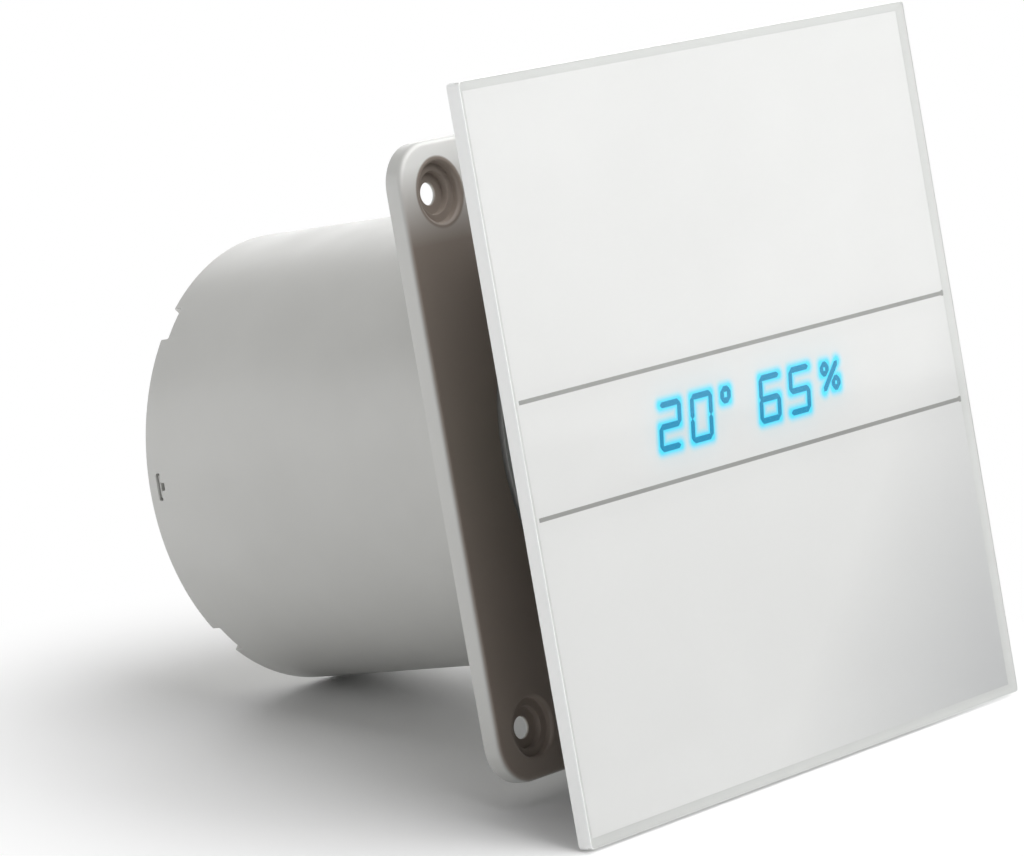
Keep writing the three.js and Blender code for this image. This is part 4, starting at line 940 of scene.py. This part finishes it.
def electronics_cover():
    inner_left = BOX_LEFT + BOX_WALL
    outside = BOX_FRONT - 1
    inside = BOX_FRONT + BOX_WALL + 1
    back = BASE_FRONT - GAP
    cover = block(BOX_LEFT, BOX_RIGHT, BOX_FRONT, back, -BOX_HALF_HEIGHT, BOX_HALF_HEIGHT)
    rounded(cover, 1.2, 4, SHARP_DEGREES)
    settled(cover)
    inner_half = BOX_HALF_HEIGHT - BOX_WALL
    room = block(inner_left, BOX_RIGHT - BOX_WALL, BOX_FRONT + BOX_WALL, back + 1, -inner_half, inner_half)
    cover = cut(cover, [room])
    cover = joined(cover, [bar_y(2.7, BOX_FRONT + 0.5, -8.4, 32, BOARD_X, z) for z in box_screw_heights])
    holes = [bar_y(1.4, outside, -7, 24, BOARD_X, z) for z in box_screw_heights]
    holes += [bar_y(2.4, outside, inside, 32, BOARD_X, z) for z in TRIMMER_HEIGHTS]
    holes.append(block(BOARD_X - 4, BOARD_X + 4, outside, inside, -2.8, 2.8))
    for step in (-2.1, 0, 2.1):
        z = SENSOR_Z + step
        holes.append(block(BOARD_X - 4, BOARD_X + 4, outside, inside, z - 0.6, z + 0.6))
    holes.append(block(BOX_LEFT - 1, inner_left + 1, -6.2, back + 1, -1.5, 1.5))
    return cut(cover, holes)


name = "electronics_cover"
finished(electronics_cover(), f"{name}_shell", "casing", [shell], [name], edge=0.15)


def slotted(radius, y0, y1, z, slot_half, slot_depth):
    """A round pin beside the inlet with a screwdriver slot in its front."""
    body = bar_y(radius, y0, y1, 48, BOARD_X, z)
    left = BOARD_X - radius * 0.8
    right = BOARD_X + radius * 0.8
    return cut(body, [block(left, right, y0 - 1, y0 + slot_depth, z - slot_half, z + slot_half)])


for label, z in zip(("timer", "humidity"), TRIMMER_HEIGHTS):
    knob = slotted(2, -19.3, -9.9, z, 0.35, 0.9)
    body = f"{label}_trimmer"
    name = f"{body}_knob"
    finished(knob, f"{name}_turned", body, [terminal_plastic], [name], edge=0.15)

for i, z in enumerate((-23.5, -18.5, -13.5)):
    name = f"terminal_screw_{i + 1}"
    screw = slotted(1.6, -16, -13.9, z, 0.3, 0.6)
    finished(screw, f"{name}_slotted", "casing", [screw_steel], [name], edge=0.1)

grommet_profile = [(3.1, -5.2), (3.5, -5.6), (5, -5.6), (5.4, -5.2), (5.4, BASE_FRONT - GAP)]
grommet_profile += [(4.2, BASE_FRONT - GAP), (4.2, -GAP), (3.1, -GAP)]
grommet = turned(grommet_profile, 64, BOARD_X, CABLE_Z)
finished(grommet, "cable_grommet_rubber", "casing", [rubber], ["cable_grommet"], edge=0.15)

can_profile = [(0, -17.1), (2.6, -17.1), (2.8, -17.4), (3.1, -17.4), (3.5, -17), (3.5, -8.4), (0, -8.4)]
capacitor = turned(can_profile, 64, BOARD_X, 25.8)
finished(capacitor, "capacitor_can", "casing", [dark_satin], ["capacitor"], edge=0.1)

shaft = bar_y(1.5, -7.5, 55.5, 48)
finished(shaft, "motor_shaft_ground", "impeller", [steel], ["motor_shaft"], edge=0.25)
rotor = ring_y(SHAFT_BORE, 7.8, CORE_FRONT, CORE_BACK, 96)
finished(rotor, "rotor_drum", "impeller", [zinc], ["rotor"])
clip = ring_y(SHAFT_BORE, 3.8, HUB_BACK + GAP, HUB_BACK + 1.1, 64)
finished(clip, "shaft_clip_ring", "impeller", [steel], ["shaft_clip"], edge=0.12)
for label, y0 in (("front", -6.3), ("rear", 21.3)):
    ring = ring_y(1.58, 4, y0, y0 + 3, 64)
    finished(ring, f"{label}_bearing_ring", "casing", [steel], [f"{label}_bearing"], edge=0.2)

# ---------- Panel carrier ----------


def panel_carrier():
    carrier = extruded(rounded_square(CARRIER_SIZE, 4, 10), CARRIER_FRONT, CARRIER_BACK)
    window_x = 38.6
    window_z = 9
    cuts = [block(-window_x, window_x, CARRIER_FRONT - 1, CARRIER_BACK + 1, -window_z, window_z)]
    cuts += [bar_y(1.1, CARRIER_FRONT - 1, CARRIER_BACK + 1, 24, x, 0) for x in DISPLAY_SCREW_X]
    carrier = cut(carrier, cuts)
    root = CARRIER_BACK - 0.5
    half = LEG_WIDTH / 2
    rib_half = 0.6
    rib_end = 11.5
    rib_back = CARRIER_BACK + 2
    parts = [block(x - half, x + half, root, LEG_END, z - half, z + half) for x, z in leg_places]
    for side in (-1, 1):
        x = side * LEG_X
        z = side * LEG_Z
        parts.append(block(-LEG_X, LEG_X, root, rib_back, z - rib_half, z + rib_half))
        parts.append(block(x - rib_half, x + rib_half, root, rib_back, rib_end, LEG_Z))
        parts.append(block(x - rib_half, x + rib_half, root, rib_back, -LEG_Z, -rib_end))
    return joined(carrier, parts)


finished(panel_carrier(), "panel_carrier_plate", "front_panel", [dark], ["panel_carrier"])

# ---------- Back-draught shutter ----------

SEAT_FRONT = 83.9
SEAT_BACK = 86
SHUTTER_BACK = 90.7
SEAT_INNER = 40.5
SHUTTER_INNER = 43.2
PIN_Y = 88.5
PIN_RADIUS = 0.8
FLAP_RADIUS = 42.5
KNUCKLE_RADIUS = 2.2


def bar_z(radius, z0, z1, sides, x, y):
    vertices = []
    for z in (z0, z1):
        for i in range(sides):
            angle = 2 * math.pi * i / sides
            vertices.append((x + radius * math.cos(angle), y + radius * math.sin(angle), z))
    faces = [tuple(range(sides)), tuple(range(2 * sides - 1, sides - 1, -1))]
    for i in range(sides):
        j = (i + 1) % sides
        faces.append((i, j, sides + j, sides + i))
    return solid(vertices, faces)


def pin_room():
    return bar_z(PIN_RADIUS + 0.25, -DUCT_OUTER, DUCT_OUTER, 32, 0, PIN_Y)


def shutter_frame():
    outer = DUCT_INNER - GAP
    profile = [(SEAT_INNER, SEAT_FRONT), (outer, SEAT_FRONT), (outer, SHUTTER_BACK)]
    profile += [(SHUTTER_INNER, SHUTTER_BACK), (SHUTTER_INNER, SEAT_BACK), (SEAT_INNER, SEAT_BACK)]
    ring = turned(profile, DUCT_SIDES)
    parts = [block(-3, 3, SEAT_FRONT, SEAT_BACK, -41.85, 41.85)]
    half = CATCH_HEIGHT / 2 - 0.4
    for side in (-1, 1):
        x0, x1 = sorted((side * (outer - 1), side * (DUCT_OUTER - 0.5)))
        parts.append(block(x0, x1, CATCH_FRONT + 0.25, CATCH_BACK - 0.25, CATCH_Z - half, CATCH_Z + half))
    return cut(joined(ring, parts), [pin_room()])


finished(shutter_frame(), "shutter_ring", "casing", [shell], ["shutter_frame"], edge=0.25)


def half_round(side, steps=96):
    """The outline of a flap's plate: an arc closed by a straight edge along the pin."""
    chord = KNUCKLE_RADIUS + 0.45
    reach = math.acos(chord / FLAP_RADIUS)
    outline = []
    for i in range(steps + 1):
        angle = mixed(-reach, reach, i / steps)
        outline.append((side * FLAP_RADIUS * math.cos(angle), FLAP_RADIUS * math.sin(angle)))
    return outline


def flap(side, knuckles):
    plate_front = PIN_Y - KNUCKLE_RADIUS
    plate_back = plate_front + 0.9
    parts = [extruded(half_round(side), plate_front, plate_back)]
    tongue = sorted((0, side * (KNUCKLE_RADIUS + 1)))
    for z0, z1 in knuckles:
        knuckle = ring_y(PIN_RADIUS + 0.25, KNUCKLE_RADIUS, z0, z1, 48)
        knuckle.data.transform(Matrix.Translation((0, PIN_Y, 0)) @ Matrix.Rotation(math.pi / 2, 4, "X"))
        parts.append(knuckle)
        parts.append(block(*tongue, plate_front, plate_back, z0, z1))
    rib = sorted((side * 8, side * (FLAP_RADIUS - 7)))
    parts.append(block(*rib, plate_back - 0.2, plate_back + 1.4, -0.5, 0.5))
    return together(parts)


for label, side, knuckles in (("left", -1, ((26, 34), (-14, -6))), ("right", 1, ((6, 14), (-34, -26)))):
    name = f"{label}_flap"
    finished(flap(side, knuckles), f"{name}_plate", name, [white_plastic], [name], edge=0.15)
pin = bar_z(PIN_RADIUS, -45.4, 45.4, 40, 0, PIN_Y)
finished(pin, "flap_pin_wire", "casing", [steel], ["flap_pin"], edge=0.2)


def flap_spring():
    """A coil round the pin, between the flaps' inner knuckles."""
    turns = 4
    steps = 28 * turns
    sides = 10
    coil_radius = 1.5
    wire = 0.28
    half_length = 2.6
    vertices = []
    for i in range(steps + 1):
        angle = 2 * math.pi * turns * i / steps
        outward = Vector((math.cos(angle), math.sin(angle), 0))
        middle = Vector((0, PIN_Y, mixed(-half_length, half_length, i / steps))) + outward * coil_radius
        for k in range(sides):
            turn = 2 * math.pi * k / sides
            section = outward * wire * math.cos(turn) + Vector((0, 0, wire * math.sin(turn)))
            vertices.append(tuple(middle + section))
    faces = [tuple(range(sides)), tuple(range(len(vertices) - 1, len(vertices) - sides - 1, -1))]
    for i in range(steps):
        for k in range(sides):
            j = (k + 1) % sides
            faces.append((i * sides + k, i * sides + j, (i + 1) * sides + j, (i + 1) * sides + k))
    return solid(vertices, faces)


finished(flap_spring(), "flap_spring_coil", "casing", [steel], ["flap_spring"], edge=0)

# ---------- CAD nodes that stay, with soft edges and their own materials ----------


def dressed(name, material, edge):
    """Gives a CAD node its material and rounds its edges."""
    node = frame["nodes"][name]
    node.data.materials.clear()
    node.data.materials.append(material)
    weld = node.modifiers.new("weld", "WELD")
    weld.merge_threshold = 0.005 * MM
    rounded(node, edge * MM, 2, 40).harden_normals = True


for name, material, edge in (
    ("motor_core", laminations, 0.1),
    ("coil_winding", copper_winding, 0.6),
    ("coil_bobbin", white_plastic, 0.15),
    ("shading_strap_upper", copper_bar, 0.12),
    ("shading_strap_lower", copper_bar, 0.12),
    ("front_bearing_bracket", zinc, 0.25),
    ("rear_bearing_bracket", zinc, 0.25),
    ("bracket_screw_1", screw_steel, 0.1),
    ("bracket_screw_2", screw_steel, 0.1),
    ("control_board", board_green, 0.05),
    ("display_board", board_green, 0.05),
    ("terminal_block", terminal_plastic, 0.15),
    ("relay", black_plastic, 0.25),
    ("display_module", black_plastic, 0.15),
    ("display_plug", black_plastic, 0.12),
    ("display_socket", black_plastic, 0.12),
    ("humidity_sensor", white_plastic, 0.12),
    ("timer_trimmer_body", white_plastic, 0.12),
    ("humidity_trimmer_body", white_plastic, 0.12),
    ("motor_lead", lead_sheath, 0.2),
):
    dressed(name, material, edge)

# ---------- Floor, lights and camera ----------

FLOOR_SLOPE = 0.2177
FLOOR_TOUCH_Y = GLASS_BACK
FLOOR_TOUCH_Z = -GLASS_SIZE / 2
FLOOR_REACH = 3.0
FLOOR_FADE = (0.1, 0.165)
WHITE = (1, 1, 1, 1)

# The middle of what the camera sees, in metres. The lights face it, and the floor fades round it.
TARGET = Vector((-0.0159, 0.0193, 0.0022))


def floor():
    """A white table that fades into a bright surround away from the object, and isn't seen from below."""
    count = 96
    touch = Vector((0, FLOOR_TOUCH_Y * MM, FLOOR_TOUCH_Z * MM - 0.0002))
    along = Vector((0, 1, FLOOR_SLOPE)).normalized()
    vertices = [touch]
    for i in range(count):
        angle = 2 * math.pi * i / count
        sideways = Vector((1, 0, 0)) * FLOOR_REACH * math.cos(angle)
        vertices.append(touch + sideways + along * FLOOR_REACH * math.sin(angle))
    faces = [(0, 1 + i, 1 + (i + 1) % count) for i in range(count)]
    mesh = bpy.data.meshes.new("floor")
    mesh.from_pydata(vertices, [], faces)
    obj = bpy.data.objects.new("floor", mesh)
    bpy.context.scene.collection.objects.link(obj)
    n = material_nodes("white_floor")
    tone = n.mix(n.spread(n.noise(6, 2), 0, 1), (0.86, 0.86, 0.86, 1), (0.89, 0.89, 0.89, 1))
    inputs = {"Base Color": tone, "Roughness": n.spread(n.noise(12, 2), 0.7, 0.8), "Specular IOR Level": 0.2}
    table = n.add("ShaderNodeBsdfPrincipled", inputs).outputs["BSDF"]
    surround = n.add("ShaderNodeEmission", {"Color": WHITE, "Strength": 1.0}).outputs["Emission"]
    away = n.vectors("DISTANCE", n.place(), tuple(TARGET), output="Value")
    inputs = {"Value": away, "From Min": FLOOR_FADE[0], "From Max": FLOOR_FADE[1]}
    fade = n.add("ShaderNodeMapRange", inputs, interpolation_type="SMOOTHSTEP").outputs["Result"]
    seen = n.add("ShaderNodeLightPath").outputs["Is Camera Ray"]
    hidden = n.maths("MULTIPLY", seen, n.add("ShaderNodeNewGeometry").outputs["Backfacing"])
    through = n.add("ShaderNodeBsdfTransparent").outputs["BSDF"]
    obj.data.materials.append(n.finish(n.blended(hidden, n.blended(fade, table, surround), through)))


floor()

LIGHT_DISTANCE = 0.9


def softbox(name, direction, size, power):
    """A square soft light that faces the object from a direction, given as an (x, y, z) vector."""
    data = bpy.data.lights.new(name, "AREA")
    data.shape = "SQUARE"
    data.size = size
    data.energy = power
    light = bpy.data.objects.new(name, data)
    bpy.context.scene.collection.objects.link(light)
    away = Vector(direction).normalized()
    light.location = TARGET + away * LIGHT_DISTANCE
    light.rotation_euler = away.to_track_quat("Z", "Y").to_euler()
    return light


softbox("front", (0, -1, 0.2), 0.6, 4.1)
softbox("front_right", (0.8, -0.6, 0.25), 0.6, 0.8)
softbox("left_back", (-0.75, 0.65, 0.25), 0.6, 2.1)
softbox("right_back", (0.7, 0.6, 0.5), 0.6, 1.5)
softbox("top", (0, 0.05, 1), 0.9, 1.1)
softbox("top_front", (0, -0.6, 0.8), 0.8, 4.8)
softbox("top_front_right", (0.6, -0.6, 0.6), 0.7, 2.0)
softbox("top_left", (-0.8, 0, 0.6), 0.7, 0.5)


def world(uniform, lobes):
    """Even light from all round, and wide soft lobes, each an (x, y, z) direction and a strength.

    The surround itself is seen as plain white.
    """
    made = bpy.data.worlds.new("studio")
    bpy.context.scene.world = made
    n = Nodes(made, "ShaderNodeOutputWorld")
    ray = n.add("ShaderNodeTexCoord").outputs["Generated"]
    total = uniform
    for direction, strength in lobes:
        facing = n.vectors("DOT_PRODUCT", ray, tuple(Vector(direction).normalized()), output="Value")
        lobe = n.maths("MAXIMUM", facing, 0.0)
        total = n.maths("MULTIPLY_ADD", n.maths("MULTIPLY", lobe, lobe), strength, total)
    light = n.add("ShaderNodeBackground", {"Color": WHITE, "Strength": total}).outputs["Background"]
    seen = n.add("ShaderNodeBackground", {"Color": WHITE, "Strength": 1.0}).outputs["Background"]
    direct = n.add("ShaderNodeLightPath").outputs["Is Camera Ray"]
    n.finish(n.blended(direct, light, seen))


world(0.04, [((1, 0, 0), 1.2)])
bpy.context.scene.view_settings.view_transform = "Standard"


def camera():
    data = bpy.data.cameras.new("camera")
    data.sensor_width = 36
    data.lens = 182.8
    data.clip_start = 0.01
    obj = bpy.data.objects.new("camera", data)
    bpy.context.scene.collection.objects.link(obj)
    right = Vector((0.6223, -0.7638, -0.1713)).normalized()
    ahead = Vector((0.7649, 0.6399, -0.0739)).normalized()
    up = right.cross(ahead)
    turn = Matrix((right, up, -ahead)).transposed()
    obj.matrix_world = Matrix.Translation((-0.8376, -0.6681, 0.0816)) @ turn.to_4x4()
    bpy.context.scene.camera = obj


camera()
